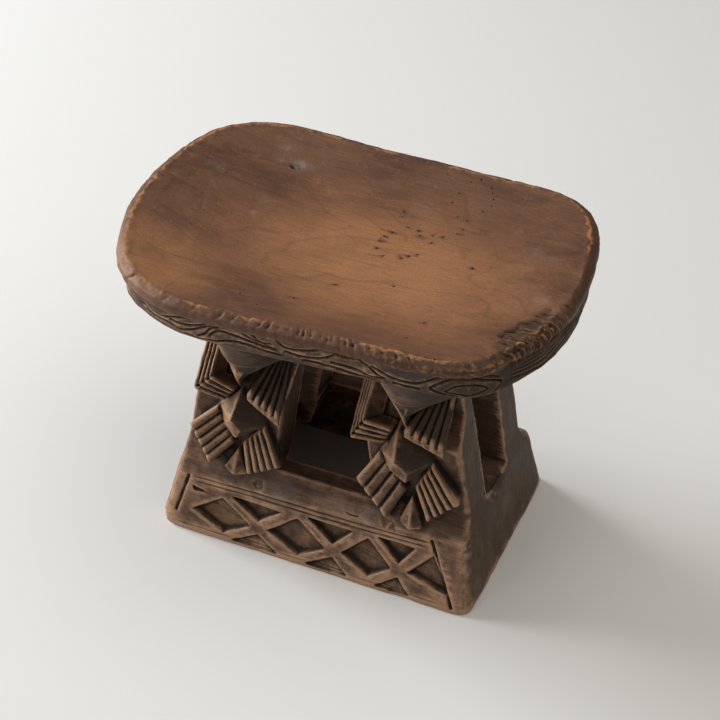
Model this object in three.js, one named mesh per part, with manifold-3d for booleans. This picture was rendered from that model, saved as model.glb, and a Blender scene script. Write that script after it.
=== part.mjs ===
// Carved wooden stool, all one solid cut from a single block: a dished seat with a carved
// band, four legs with faceted bosses and ridged arms, and an open base ring with a lattice.
// Millimetres, +Z up, +X along the seat. The front looks to -Y. The sizes are measured from
// the middle of the base, and at the end the origin is put under the middle of the whole.

import * as THREE from 'three';
import Module from 'manifold-3d';
import { mergeVertices } from 'three/addons/utils/BufferGeometryUtils.js';
import { ConvexGeometry } from 'three/addons/geometries/ConvexGeometry.js';
import { LoftGeometry } from 'three/addons/geometries/LoftGeometry.js';

const wasm = await Module();
wasm.setup();

// Seat: its height, the dish, the upright carved band, and the low point of the underside
const HEIGHT = 340;
const DISH_DEPTH = 18;
const DISH_SHAPE = 2.6;
const LIP_WIDTH = 9;
const BAND_HEIGHT = 45;
const BAND_INSET = 14;
const BAND_END_INSET = 6;
const UNDERSIDE = 256;
const SEAT_STEPS = 60;
// Plan of the rim from above, counterclockwise from the left end: a rounded rectangle cut by
// eye, whose front edge runs back a little towards the right
const RIM_PLAN = [
  [-210, -59], [-176, -125], [-124, -153], [-61, -157],
  [37, -149], [152, -139], [179, -122], [218, -42],
  [219, 51], [195, 122], [164, 144], [72, 148],
  [-23, 148], [-150, 146], [-198, 114], [-221, 18],
];

// Base ring: half sizes on the floor, lean of its sides, and the ledge on top of its panels
const BASE_X = 170;
const BASE_Y = 109;
const SIDE_LEAN = 0.207;
const PANEL_LEAN = 0.262;
const PANEL_TOP = 70;
const PANEL_TILT = 0.05;
const WELL_X = 142;
const WELL_Y = 84;
const SILL_INNER_X = 74;
const RAIL_Y = 57;
const FRONT_RAIL_TOP = 90;
const BACK_RAIL_TOP = 97;

// Legs: the ledge they stand on, their half depth, and the openings between them
const LEG_X = 86;
const LEG_Y = 69;
const LEG_FOOT = 98;
const LEG_HEAD_X = 120;
const LEG_DRIFT = 0.012;
const GAP_FOOT = 54;
const GAP_MIDDLE = 40;
const GAP_TOP = 35;
const GAP_LEVELS = [185, 215];
const SLOT_Y = 27;
const SILL = 87;

// Above the arms a leg is cut back to its neck
const SHELF_FOOT = 174;
const SHELF_HEAD = 205;
const NECK_Y = 46;

// Arms: ridges side by side, each raised over its patch
const RIDGE_RISE = 2.2;
const RIDGE_CREST = 0.24;
const ARM_ROOT = 14;
const FOREARM_ROOT = 22;
const ROOT_WIDTH = 0.85;
const MOTIF_HEIGHT = 150;

// Lattice on the panels: crossings along it, and the levels of its chips
const CROSSINGS = [-142, -59, 22, 92, 153];
const STRIP_HALF = 7.5;
const CHIP_FOOT = 10;
const CHIP_NODE = 28;
const CHIP_HEAD = 51;
const CHIP_RISE = 0.045;
const CHIP_DEPTH = 7.5;
const CHIP_SHALLOW = 2.2;

const vec = (x, y, z) => new THREE.Vector3(x, y, z);

/** Six times the signed volume inside a closed surface, which is negative if it is inside out. */
function signedVolume(positions, corners) {
  const point = [vec(0, 0, 0), vec(0, 0, 0), vec(0, 0, 0)];
  let total = 0;
  for (let i = 0; i < corners.length; i += 3) {
    point.forEach((corner, k) => corner.fromArray(positions, 3 * corners[i + k]));
    total += point[0].dot(point[1].cross(point[2]));
  }
  return total;
}

/** Turns a closed geometry, placed by a matrix, into a solid for joining and cutting. */
function solid(geometry, placement = new THREE.Matrix4()) {
  const shape = new THREE.BufferGeometry();
  shape.setAttribute('position', geometry.getAttribute('position').clone());
  shape.setIndex(geometry.index);
  shape.applyMatrix4(placement);
  const merged = mergeVertices(shape, 1e-3);
  const positions = new Float32Array(merged.attributes.position.array);
  const corners = [];
  for (let i = 0; i < merged.index.count; i += 3) {
    const [a, b, c] = [0, 1, 2].map((k) => merged.index.getX(i + k));
    if (a !== b && b !== c && c !== a) {
      corners.push(a, b, c);
    }
  }
  if (signedVolume(positions, corners) < 0) {
    corners.reverse();
  }
  return new wasm.Manifold(new wasm.Mesh({
    numProp: 3,
    vertProperties: positions,
    triVerts: new Uint32Array(corners),
  }));
}

/** A frame whose X and Y axes are the two directions given, and Z points off the face. */
function faceFrame(origin, across, along) {
  const outward = across.clone().cross(along).normalize();
  return new THREE.Matrix4().makeBasis(across, along, outward).setPosition(origin);
}

/** A prism with its outline in the XZ plane, from the near to the far Y. */
function prismAlongY(outline, near, far) {
  const shape = new THREE.Shape(outline.map(([x, z]) => new THREE.Vector2(x, z)));
  const body = new THREE.ExtrudeGeometry(shape, { depth: far - near, bevelEnabled: false });
  return solid(body.rotateX(Math.PI / 2).translate(0, far, 0));
}

/** A prism with its outline in the YZ plane, from the low to the high X. */
function prismAlongX(outline, low, high) {
  const shape = new THREE.Shape(outline.map(([y, z]) => new THREE.Vector2(y, z)));
  const body = new THREE.ExtrudeGeometry(shape, { depth: high - low, bevelEnabled: false });
  body.rotateX(Math.PI / 2).rotateZ(Math.PI / 2);
  return solid(body.translate(low, 0, 0));
}

const rimCorners = RIM_PLAN.map(([x, y]) => vec(x, y, 0));
const rimCurve = new THREE.CatmullRomCurve3(rimCorners, true, 'centripetal');

/**
 * One ring of the seat: the rim's plan set in by an inset, scaled, at a height. The inset
 * at the two ends of the seat may differ from that at the front and back.
 */
function seatRing(scale, inset, height, endInset = inset) {
  const ring = [];
  for (let i = 0; i < SEAT_STEPS; i += 1) {
    const point = rimCurve.getPointAt(i / SEAT_STEPS);
    const run = rimCurve.getTangentAt(i / SEAT_STEPS);
    const depth = endInset + (inset - endInset) * run.x ** 2;
    point.add(vec(-run.y * depth, run.x * depth, 0)).multiplyScalar(scale);
    ring.push(point.setZ(height));
  }
  return ring;
}

/** The seat: convex underside, upright band, rounded lip, sharp inner edge and dish. */
function makeSeat() {
  const bandFoot = HEIGHT - BAND_HEIGHT;
  const bandRing = (share, height) => (
    seatRing(1, BAND_INSET * share, height, BAND_END_INSET * share)
  );
  const rings = [];
  for (const reach of [0.3, 0.5, 0.68, 0.83, 0.94]) {
    const height = UNDERSIDE + (bandFoot - UNDERSIDE) * reach ** 2.2;
    rings.push(seatRing(reach, BAND_INSET, height, BAND_END_INSET));
  }
  rings.push(bandRing(1, bandFoot));
  rings.push(bandRing(0.86, bandFoot + 3));
  rings.push(bandRing(0.82, HEIGHT - 20));
  rings.push(bandRing(0.5, HEIGHT - 17));
  rings.push(seatRing(1, 0.8, HEIGHT - 13));
  rings.push(seatRing(1, 0, HEIGHT - 9));
  rings.push(seatRing(1, 1.2, HEIGHT - 4.5));
  rings.push(seatRing(1, 4, HEIGHT - 1.5));
  rings.push(seatRing(1, LIP_WIDTH, HEIGHT));
  const block = solid(new LoftGeometry(rings, { capStart: true, capEnd: true }));
  const hollow = [];
  for (const reach of [0.24, 0.45, 0.62, 0.76, 0.87, 0.95, 1.03]) {
    const height = HEIGHT - DISH_DEPTH * (1 - reach ** DISH_SHAPE);
    hollow.push(seatRing(reach, LIP_WIDTH + 1, height));
  }
  return block.subtract(solid(new LoftGeometry(hollow, { capStart: true, capEnd: true })));
}

/** A rectangle with round corners, as one ring of the base or of the well. */
function blockRing(halfX, halfY, corner, height, tilt = 0) {
  const ring = [];
  const steps = 4;
  const centres = [[1, 1], [-1, 1], [-1, -1], [1, -1]];
  centres.forEach(([sx, sy], quarter) => {
    for (let i = 0; i <= steps; i += 1) {
      const turn = (Math.PI / 2) * (quarter + i / steps);
      const x = sx * (halfX - corner) + corner * Math.cos(turn) + LEG_DRIFT * height;
      const y = sy * (halfY - corner) + corner * Math.sin(turn);
      const narrowing = 1 - (PANEL_LEAN * tilt * x) / halfY;
      ring.push(vec(x, y * narrowing, height + tilt * x));
    }
  });
  return ring;
}

/** The opening between the legs of one face, down to the top of that face's rail. */
function makeGap(face, railTop) {
  const [middle, top] = GAP_LEVELS;
  const outline = [
    [-GAP_FOOT, railTop],
    [GAP_FOOT, railTop],
    [GAP_MIDDLE, middle],
    [GAP_TOP, top],
    [GAP_TOP, HEIGHT - BAND_HEIGHT],
    [-GAP_TOP, HEIGHT - BAND_HEIGHT],
    [-GAP_TOP, top],
    [-GAP_MIDDLE, middle],
  ];
  return prismAlongY(outline, Math.min(0, face * BASE_Y), Math.max(0, face * BASE_Y));
}

/** The base ring and the legs' block, before the carving. */
function makeBody() {
  const sideAt = (z) => BASE_X - SIDE_LEAN * z;
  const panelAt = (z) => BASE_Y - PANEL_LEAN * z;
  const head = UNDERSIDE + 20;
  const block = solid(new LoftGeometry([
    blockRing(BASE_X - 2.5, BASE_Y - 2.5, 14, 0),
    blockRing(sideAt(5), panelAt(5), 14, 5),
    blockRing(sideAt(PANEL_TOP), panelAt(PANEL_TOP), 8, PANEL_TOP, PANEL_TILT),
    blockRing(sideAt(LEG_FOOT), LEG_Y, 4, LEG_FOOT),
    blockRing(LEG_HEAD_X, LEG_Y, 4, head),
  ], { capStart: true, capEnd: true }));
  const well = solid(new LoftGeometry([
    blockRing(WELL_X, WELL_Y, 12, -1),
    blockRing(WELL_X - 22, WELL_Y - 12, 12, 40),
    blockRing(GAP_FOOT + 8, RAIL_Y + 7, 8, 62),
    blockRing(GAP_FOOT, RAIL_Y, 8, SILL + 1),
  ], { capStart: true, capEnd: true }));
  const sideWell = solid(new LoftGeometry([
    blockRing(WELL_X - 14, SLOT_Y, 4, 26),
    blockRing(SILL_INNER_X, SLOT_Y, 4, SILL + 1),
  ], { capStart: true, capEnd: true }));
  const backRail = prismAlongX([
    [RAIL_Y, SILL],
    [panelAt(SILL), SILL - 10],
    [panelAt(BACK_RAIL_TOP), BACK_RAIL_TOP],
    [RAIL_Y, BACK_RAIL_TOP],
  ], -GAP_FOOT - 2, GAP_FOOT + 2);
  const middle = prismAlongY([
    [-GAP_FOOT, SILL],
    [GAP_FOOT, SILL],
    [GAP_FOOT - 2, BACK_RAIL_TOP + 1],
    [2 - GAP_FOOT, BACK_RAIL_TOP + 1],
  ], -RAIL_Y, RAIL_Y);
  const slot = prismAlongX([
    [-SLOT_Y, SILL],
    [SLOT_Y, SILL],
    [SLOT_Y + 3, GAP_LEVELS[0]],
    [SLOT_Y + 3, HEIGHT - BAND_HEIGHT],
    [-SLOT_Y, HEIGHT - BAND_HEIGHT],
  ], -BASE_X - 10, BASE_X + 10);
  return block.subtract(well).subtract(sideWell).subtract(middle).subtract(slot)
    .subtract(makeGap(-1, FRONT_RAIL_TOP)).subtract(makeGap(1, BACK_RAIL_TOP)).add(backRail);
}

/** What is cut away above the arms, so that the leg's neck stands further in. */
function makeNeckCut(face) {
  return prismAlongX([
    [face * (LEG_Y + 40), SHELF_FOOT],
    [face * LEG_Y, SHELF_FOOT],
    [face * NECK_Y, SHELF_HEAD],
    [face * NECK_Y, HEIGHT],
    [face * (LEG_Y + 40), HEIGHT],
  ], -BASE_X, BASE_X);
}

const along = (from, to, share) => from.clone().lerp(to, share);

/** A closed surface through rings of equal counts, with both end rings filled. */
function closedLoft(rings) {
  const count = rings[0].length;
  const corners = [];
  for (let r = 0; r + 1 < rings.length; r += 1) {
    for (let i = 0; i < count; i += 1) {
      const here = r * count + i;
      const next = r * count + ((i + 1) % count);
      corners.push(here, next, here + count, next, next + count, here + count);
    }
  }
  const top = (rings.length - 1) * count;
  for (let i = 0; i + 2 < count; i += 1) {
    corners.push(count - 1, i + 1, i);
    corners.push(top + count - 1, top + i, top + i + 1);
  }
  const surface = new THREE.BufferGeometry().setFromPoints(rings.flat());
  surface.setIndex(corners);
  return surface;
}

/**
 * Ridges side by side on a patch with four corners, as one fluted block. Each ridge runs
 * from the edge between the first and last corner to the edge between the second and
 * third, with blunt ends. The block goes into the leg by its root, and may drop at its
 * start as a small upright face.
 */
function flutes([startFirst, endFirst, endLast, startLast], count, root, drop = 0) {
  const normal = endFirst.clone().sub(startFirst).cross(startLast.clone().sub(startFirst));
  normal.normalize();
  if (normal.y > 0) {
    normal.negate();
  }
  const section = (share, rise, shift) => {
    const first = along(startFirst, endFirst, share);
    const last = along(startLast, endLast, share);
    const ring = [];
    for (let i = 0; i < count; i += 1) {
      ring.push(along(first, last, i / count));
      for (const edge of [RIDGE_CREST, 1 - RIDGE_CREST]) {
        ring.push(along(first, last, (i + edge) / count).addScaledVector(normal, rise));
      }
    }
    ring.push(last.clone());
    ring.forEach((point) => point.add(shift));
    for (const corner of [last, first]) {
      corner.addScaledVector(normal, -root);
      ring.push(corner.setX(corner.x * ROOT_WIDTH));
    }
    return ring;
  };
  const level = vec(0, 0, 0);
  const rings = [
    section(0, RIDGE_RISE / 3, level),
    section(0.04, RIDGE_RISE, level),
    section(0.96, RIDGE_RISE, level),
    section(1, RIDGE_RISE / 3, level),
  ];
  if (drop > 0) {
    rings.unshift(section(0, RIDGE_RISE / 3, vec(0, -1, -drop)));
  }
  return closedLoft(rings);
}

/** The flare under the seat, which narrows down to the top of the boss. */
function flare(lift) {
  const levels = [
    { z: 183 + 0.9 * lift, left: -1, right: 2, front: -75 },
    { z: 194 + lift, left: -7 - 0.2 * lift, right: 5, front: -78 },
    { z: 209 + lift, left: -17 - 0.5 * lift, right: 25, front: -82 },
    { z: 226 + lift, left: -28 - 0.5 * lift, right: 46, front: -90 },
    { z: 256, left: -33, right: 54, front: -108 },
    { z: HEIGHT - BAND_HEIGHT + 3, left: -36, right: 60, front: -131 },
  ];
  const steps = 14;
  const back = -52;
  const rings = levels.map(({ z, left, right, front }) => {
    const ring = [];
    for (let i = 0; i < steps; i += 1) {
      const turn = (2 * Math.PI * i) / steps;
      const sine = Math.sin(turn);
      const across = (left + right) / 2 + ((right - left) / 2) * Math.cos(turn);
      ring.push(vec(across, back + sine * (sine < 0 ? back - front : 6), z));
    }
    return ring;
  });
  return new LoftGeometry(rings, { capStart: true, capEnd: true });
}

/**
 * All the carving of one leg, seen from in front of it: X to the right of the leg's
 * middle, and the face at negative Y. The boss and arms turn about the leg's middle.
 */
function legCarving({ turn, lift, size }, { upper, fan, left, right }) {
  const place = (across, y, z) => {
    const up = (z - MOTIF_HEIGHT) * size;
    const out = across * size;
    const x = out * Math.cos(turn) - up * Math.sin(turn);
    return vec(x, y, MOTIF_HEIGHT + lift + out * Math.sin(turn) + up * Math.cos(turn));
  };
  const boss = new ConvexGeometry([
    place(0, -74, 177), place(-2, -94, 156), place(6, -91, 141), place(-3, -84, 124),
    place(-26, -71, 152), place(-17, -80, 135), place(27, -73, 142), place(21, -71, 154),
    place(0, -60, 182), place(-24, -60, 155), place(26, -60, 150), place(-2, -60, 124),
  ]);
  const spurTop = place(-2, -80, 107);
  const spurFoot = place(-3, -93, 96).setZ(81);
  const spur = new ConvexGeometry([
    spurTop,
    spurTop.clone().setY(-60),
    spurFoot,
    spurFoot.clone().add(vec(-14, 9, 0)),
    spurFoot.clone().add(vec(11, 7, 0)),
    spurFoot.clone().add(vec(-14, 30, 0)),
    spurFoot.clone().add(vec(11, 30, 0)),
  ]);
  const elbow = place(-45, -84, 174);
  const bend = place(-27, -77, 191);
  const bossEnd = place(-15, -78, 165);
  const bossTop = place(-3, -76, 181);
  const elbowTop = elbow.clone().add(vec(1, 38, 48));
  const bendTop = bend.clone().add(vec(0, 31, 38));
  const fanStart = place(9, -78, 181);
  const fanEnd = place(45, -82, 162);
  const fanStartTop = fanStart.clone().add(vec(14, 32, 27));
  const fanEndTop = fanEnd.clone().add(vec(-3, 37, 47));
  return [
    flare(lift * 1.5),
    boss,
    spur,
    flutes([bossEnd, elbow, bend, bossTop], upper, ARM_ROOT),
    flutes([elbow, elbowTop, bendTop, bend], upper, ARM_ROOT),
    flutes([fanStart, fanStartTop, fanEndTop, fanEnd], fan, ARM_ROOT, 8),
    flutes([
      place(-24, -76, 154), place(-50, -88, 130), place(-29, -92, 87), place(-6, -80, 114),
    ], left, FOREARM_ROOT),
    flutes([
      place(27, -75, 143), place(47, -86, 105), place(12, -92, 87), place(4, -80, 118),
    ], right, FOREARM_ROOT),
  ];
}

/** One chip of the lattice: steep along its first edge, then a floor that rises. */
function chip(corners, depth, shallow) {
  const points = corners.map(([x, t]) => vec(x, t, 1));
  const middle = new THREE.Vector2();
  for (const [x, t] of corners) {
    middle.add(new THREE.Vector2(x, t).divideScalar(corners.length));
  }
  corners.forEach(([x, t], i) => {
    const steep = i < 2;
    const inner = new THREE.Vector2(x, t).lerp(middle, steep ? 0.16 : 0.06);
    points.push(vec(inner.x, inner.y, steep ? -depth : -shallow));
  });
  return new ConvexGeometry(points);
}

/** The chips that leave the lattice of strips standing on a panel. */
function latticeCutters(depth, shallow) {
  const cutters = [chip([[-136, 56], [-112, 50], [-133, 49]], depth / 2, shallow)];
  for (let i = 0; i + 1 < CROSSINGS.length; i += 1) {
    const left = CROSSINGS[i] + STRIP_HALF;
    const right = CROSSINGS[i + 1] - STRIP_HALF;
    const middle = (left + right) / 2;
    const rise = CHIP_RISE * (middle - CROSSINGS[0]) - 2;
    const head = CHIP_HEAD + rise;
    const node = CHIP_NODE + rise / 3;
    const foot = CHIP_FOOT + rise / 3;
    cutters.push(i + 2 < CROSSINGS.length
      ? chip([[left, node], [middle + 4, foot], [right, node], [middle, head]], depth, shallow)
      : chip([[left, node], [right + 2, foot + 4], [middle + 3, head]], depth, shallow));
    if (i > 0) {
      const crossing = CROSSINGS[i];
      const before = (CROSSINGS[i - 1] + crossing) / 2 + STRIP_HALF;
      const after = middle - 2 * STRIP_HALF;
      const line = head + 1;
      cutters.push(chip([[before, line], [crossing - 1, node + 6], [after, line]], depth, shallow));
      const roof = node - STRIP_HALF;
      cutters.push(chip([[before, 4], [crossing, roof], [after, 4]], depth / 2, shallow));
    }
  }
  return cutters;
}

/** A straight V groove on a panel, from one point to another. */
function vGroove([fromX, fromT], [toX, toT], halfWidth, depth) {
  const run = new THREE.Vector2(toX - fromX, toT - fromT).normalize();
  const points = [];
  for (const [x, t] of [[fromX, fromT], [toX, toT]]) {
    points.push(vec(x - run.y * halfWidth, t + run.x * halfWidth, 1));
    points.push(vec(x + run.y * halfWidth, t - run.x * halfWidth, 1));
    points.push(vec(x, t, -depth));
  }
  return new ConvexGeometry(points);
}

/** Frame of the front panel: X along it, Y up it, Z out of it, from its floor line. */
function panelFrame() {
  const up = vec(0, PANEL_LEAN, 1).normalize();
  return faceFrame(vec(0, -BASE_Y, 0), vec(1, 0, 0), up);
}

// The back is carved like the front, as if seen after half a turn
const turned = new THREE.Matrix4().makeRotationZ(Math.PI);
const legs = [
  { x: -LEG_X, turn: 0, lift: 0, size: 1, ridges: { upper: 4, fan: 5, left: 5, right: 5 } },
  { x: LEG_X, turn: 0.28, lift: 9, size: 1.06, ridges: { upper: 4, fan: 5, left: 4, right: 5 } },
];
const plainRidges = { upper: 3, fan: 3, left: 3, right: 3 };

let stool = makeBody().subtract(makeNeckCut(-1)).subtract(makeNeckCut(1));
for (const cutter of latticeCutters(CHIP_DEPTH, CHIP_SHALLOW)) {
  stool = stool.subtract(solid(cutter, panelFrame()));
}
for (const cutter of latticeCutters(CHIP_DEPTH / 2, CHIP_SHALLOW / 2)) {
  stool = stool.subtract(solid(cutter, turned.clone().multiply(panelFrame())));
}
for (const [from, to] of [[[-139, 66], [-151, 20]], [[121, 76], [150, 6]]]) {
  stool = stool.subtract(solid(vGroove(from, to, 3, 4), panelFrame()));
}
for (const leg of legs) {
  const front = new THREE.Matrix4().makeTranslation(leg.x, 0, 0);
  const back = turned.clone().multiply(front);
  for (const [ridges, placement] of [[leg.ridges, front], [plainRidges, back]]) {
    for (const geometry of legCarving(leg, ridges)) {
      stool = stool.add(solid(geometry, placement));
    }
  }
}
stool = stool.add(makeSeat());

const { vertProperties, triVerts } = stool.getMesh();
const surface = new THREE.BufferGeometry();
surface.setAttribute('position', new THREE.BufferAttribute(vertProperties, 3));
surface.setIndex(new THREE.BufferAttribute(triVerts, 1));
surface.computeBoundingBox();
const middle = surface.boundingBox.getCenter(vec(0, 0, 0));
surface.translate(-middle.x, -middle.y, 0);
surface.computeVertexNormals();

const wood = new THREE.MeshStandardMaterial({ color: 0x5d4433, roughness: 0.72, metalness: 0 });
const carvedStool = new THREE.Mesh(surface, wood);
carvedStool.name = 'carved_stool';

const group = new THREE.Group();
group.add(carvedStool);

export default group;
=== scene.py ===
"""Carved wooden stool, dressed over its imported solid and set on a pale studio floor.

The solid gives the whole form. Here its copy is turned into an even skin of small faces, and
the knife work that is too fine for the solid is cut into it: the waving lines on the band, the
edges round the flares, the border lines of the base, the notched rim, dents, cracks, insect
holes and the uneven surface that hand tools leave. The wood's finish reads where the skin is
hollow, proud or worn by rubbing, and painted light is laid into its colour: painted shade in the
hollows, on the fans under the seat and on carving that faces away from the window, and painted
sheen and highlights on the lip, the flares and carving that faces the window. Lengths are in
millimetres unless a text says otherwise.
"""

import logging
import math
from dataclasses import dataclass, field
from enum import Enum
from typing import Any

import bpy
import numpy as np
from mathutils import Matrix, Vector


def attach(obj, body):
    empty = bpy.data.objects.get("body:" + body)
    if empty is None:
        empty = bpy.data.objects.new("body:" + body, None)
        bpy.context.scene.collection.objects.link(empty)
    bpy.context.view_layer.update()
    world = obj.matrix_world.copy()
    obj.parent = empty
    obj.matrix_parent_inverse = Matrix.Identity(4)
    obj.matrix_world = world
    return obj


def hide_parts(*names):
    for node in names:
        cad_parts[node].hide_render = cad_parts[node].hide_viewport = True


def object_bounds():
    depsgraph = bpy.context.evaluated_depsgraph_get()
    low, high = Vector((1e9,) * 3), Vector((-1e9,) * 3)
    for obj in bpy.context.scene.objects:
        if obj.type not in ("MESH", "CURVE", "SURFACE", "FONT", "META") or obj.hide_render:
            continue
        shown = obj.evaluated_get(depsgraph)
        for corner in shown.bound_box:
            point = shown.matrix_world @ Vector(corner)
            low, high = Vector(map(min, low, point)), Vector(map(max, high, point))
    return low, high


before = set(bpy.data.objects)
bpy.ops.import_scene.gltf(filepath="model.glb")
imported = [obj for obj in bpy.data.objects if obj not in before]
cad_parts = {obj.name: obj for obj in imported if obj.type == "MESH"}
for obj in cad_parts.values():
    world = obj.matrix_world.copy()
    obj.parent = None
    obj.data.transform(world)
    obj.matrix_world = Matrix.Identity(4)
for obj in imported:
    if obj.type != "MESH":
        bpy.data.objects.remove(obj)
SOLID_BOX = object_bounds()

NODE = "carved_stool"
MM = 0.001
BASE_MIDDLE = (-0.8, 3.25, 0.0)
log = logging.getLogger("stool")

Points = np.ndarray
Pair = tuple[float, float]
Triple = tuple[float, float, float]
Layer = tuple[float, int, Triple]
Line = tuple[Pair, ...]


class WearAndLight(Enum):
    """What the skin's points know of their wear and of the painted shade and highlights in their
    colour, by the names kept on the mesh.
    """

    # Grime and painted shade: darkens the colour in the hollows.
    HOLLOW = "hollow"
    # Proud and scuffed wood, and a painted highlight on the leg carving that faces the leg's
    # left.
    PROUD_AND_LIT = "proud"
    RIM_EDGE = "rim_edge"
    END_FACE = "end_face"
    # Knocks, and a painted grey sheen on the dents, the lip's front left and the flares.
    BRUISE_AND_SHEEN = "bruise_and_sheen"
    # The worn dish, and a painted sheen on the lip's front left.
    RUBBED_PALE_AND_SHEEN = "rubbed_pale_and_sheen"
    # The lip's outer face, with painted shade laid on more strongly towards the right.
    LIP_FACE = "lip_face"
    # Painted shade: leg carving under the seat and facing away from the window, and the band's
    # right corner.
    SMOKE = "painted_shade"
    DISH = "dish"


# Numbers on points


def smooth_step(low: float, high: float, values: Points) -> Points:
    """Rises smoothly from 0 at low to 1 at high.

    Args:
        low: Value where the rise starts.
        high: Value where it ends, which may be below low.
        values: Numbers to be shaped.

    Returns:
        Numbers from 0 to 1.
    """
    share = np.clip((values - low) / (high - low), 0.0, 1.0)
    return share * share * (3.0 - 2.0 * share)


def bell(values: Points, middle: float, width: float | Points) -> Points:
    """Gives 1 at the middle, falling off to both sides."""
    return np.exp(-((values - middle) / width) ** 2)


def smooth_path(points: Line, steps: int = 6) -> Points:
    """Draws a smooth line through points.

    Args:
        points: Points on the line, in order.
        steps: Pieces between two of them.

    Returns:
        Points along the line, one row each.
    """
    knots = np.array(points, float)
    padded = np.vstack([2 * knots[0] - knots[1], knots, 2 * knots[-1] - knots[-2]])
    line = []
    for before, start, end, after in zip(padded, padded[1:], padded[2:], padded[3:]):
        for t in np.linspace(0.0, 1.0, steps, endpoint=False):
            line.append(0.5 * (
                2 * start + (end - before) * t
                + (2 * before - 5 * start + 4 * end - after) * t ** 2
                + (3 * start - before - 3 * end + after) * t ** 3
            ))
    line.append(knots[-1])
    return np.array(line)


def distance_to_path(places: Points, path: Points) -> tuple[Points, Points]:
    """Finds how far points are from a line, and how far along it.

    Args:
        places: Points in the plane of the line, one row each.
        path: Points along the line.

    Returns:
        The distances, and the shares of the line's length from 0 to 1.
    """
    nearest = np.full(len(places), np.inf)
    where = np.zeros(len(places))
    lengths = np.hypot(*np.diff(path, axis=0).T)
    walked = np.concatenate([[0.0], np.cumsum(lengths)])
    for i, length in enumerate(lengths):
        run = (path[i + 1] - path[i]) / max(length, 1e-9)
        offset = places - path[i]
        ahead = np.clip(offset @ run, 0.0, length)
        gap = np.hypot(*(offset - ahead[:, None] * run).T)
        closer = gap < nearest
        nearest[closer] = gap[closer]
        where[closer] = (walked[i] + ahead[closer]) / walked[-1]
    return nearest, where


@dataclass(frozen=True)
class LatticeNoise:
    """Smooth random values in space, the same on every run.

    Attributes:
        seed: Number that picks the values.
        size: Distance between two values along X, Y and Z.
        count: Values along each axis before they repeat.
    """

    seed: int
    size: Triple
    count: int = 32

    def at(self, points: Points) -> Points:
        """Reads the noise.

        Args:
            points: Places in space, one row each.

        Returns:
            Values from -1 to 1.
        """
        table = np.random.default_rng(self.seed).uniform(-1, 1, (self.count,) * 3)
        place = points / np.array(self.size) + self.count
        cell = np.floor(place).astype(int)
        share = place - cell
        share = share * share * (3 - 2 * share)
        total = np.zeros(len(points))
        for corner in range(8):
            step = np.array([corner & 1, corner >> 1 & 1, corner >> 2 & 1])
            weight = np.prod(np.where(step, share, 1 - share), axis=1)
            i, j, k = ((cell + step) % self.count).T
            total += weight * table[i, j, k]
        return total


def layered(points: Points, *layers: Layer) -> Points:
    """Adds up layers of noise.

    Args:
        points: Places in space.
        layers: The strength, seed and size of each layer.

    Returns:
        The sum at each point.
    """
    total = np.zeros(len(points))
    for strength, seed, size in layers:
        total += strength * LatticeNoise(seed, size).at(points)
    return total


@dataclass(frozen=True)
class ToolFacets:
    """Shallow scoops side by side, as an adze or a knife leaves them.

    Attributes:
        seed: Number that picks the scoops.
        size: Room of one scoop along X, Y and Z.
        count: Scoops along each axis before they repeat.
        highest: Value at which the edges between scoops are cut off.
    """

    seed: int
    size: Triple
    count: int = 16
    highest: float = 1.2

    def at(self, points: Points) -> Points:
        """Reads the scoops.

        Args:
            points: Places in space, one row each.

        Returns:
            Values from 0 in the middle of a scoop to about 1 on its edges.
        """
        table = np.random.default_rng(self.seed).uniform(0, 1, (self.count,) * 3 + (3,))
        place = points / np.array(self.size) + self.count
        cell = np.floor(place).astype(int)
        nearest = np.full(len(points), np.inf)
        for index in range(27):
            step = np.array([index % 3 - 1, index // 3 % 3 - 1, index // 9 - 1])
            room = cell + step
            i, j, k = (room % self.count).T
            gap = place - room - table[i, j, k]
            nearest = np.minimum(nearest, np.einsum("ij,ij->i", gap, gap))
        return np.clip(nearest, 0.0, self.highest)


@dataclass(frozen=True)
class Cut:
    """A line cut V-shaped into the wood, on a flattened part of its surface.

    Attributes:
        points: Points along the line.
        width: Full width at the surface.
        depth: Depth in the middle.
        fade: Share of the length over which each end runs out.
    """

    points: Line
    width: float
    depth: float
    fade: float = 0.12

    def depth_at(self, places: Points) -> Points:
        """Gives how deep the cut is.

        Args:
            places: Points on the flattened surface.

        Returns:
            Depths, 0 beside the cut.
        """
        path = smooth_path(self.points)
        depth = np.zeros(len(places))
        low = path.min(axis=0) - self.width
        high = path.max(axis=0) + self.width
        near = np.flatnonzero(np.all((places > low) & (places < high), axis=1))
        gap, share = distance_to_path(places[near], path)
        ends = np.minimum(share, 1 - share) / self.fade
        strength = np.clip(ends, 0.0, 1.0) ** 0.5
        reach = np.clip(1 - gap / (self.width / 2), 0.0, 1.0)
        depth[near] = self.depth * reach * strength
        return depth


def deepest(cuts: tuple[Cut, ...], places: Points) -> Points:
    """Gives the depth of the deepest of some cuts.

    Args:
        cuts: The cuts.
        places: Points on the flattened surface.

    Returns:
        The depth at each place.
    """
    depth = np.zeros(len(places))
    for cut in cuts:
        depth = np.maximum(depth, cut.depth_at(places))
    return depth


@dataclass(frozen=True)
class Dent:
    """A hollow knocked or worn into the surface.

    Attributes:
        place: Its middle.
        radius: Its reach.
        depth: Depth in the middle.
    """

    place: Triple
    radius: float
    depth: float

    def depth_at(self, points: Points) -> Points:
        """Gives how deep the dent is at points in space."""
        gap = np.linalg.norm(points - np.array(self.place), axis=1) / self.radius
        return self.depth * np.clip(1 - gap * gap, 0.0, 1.0) ** 1.5


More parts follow.
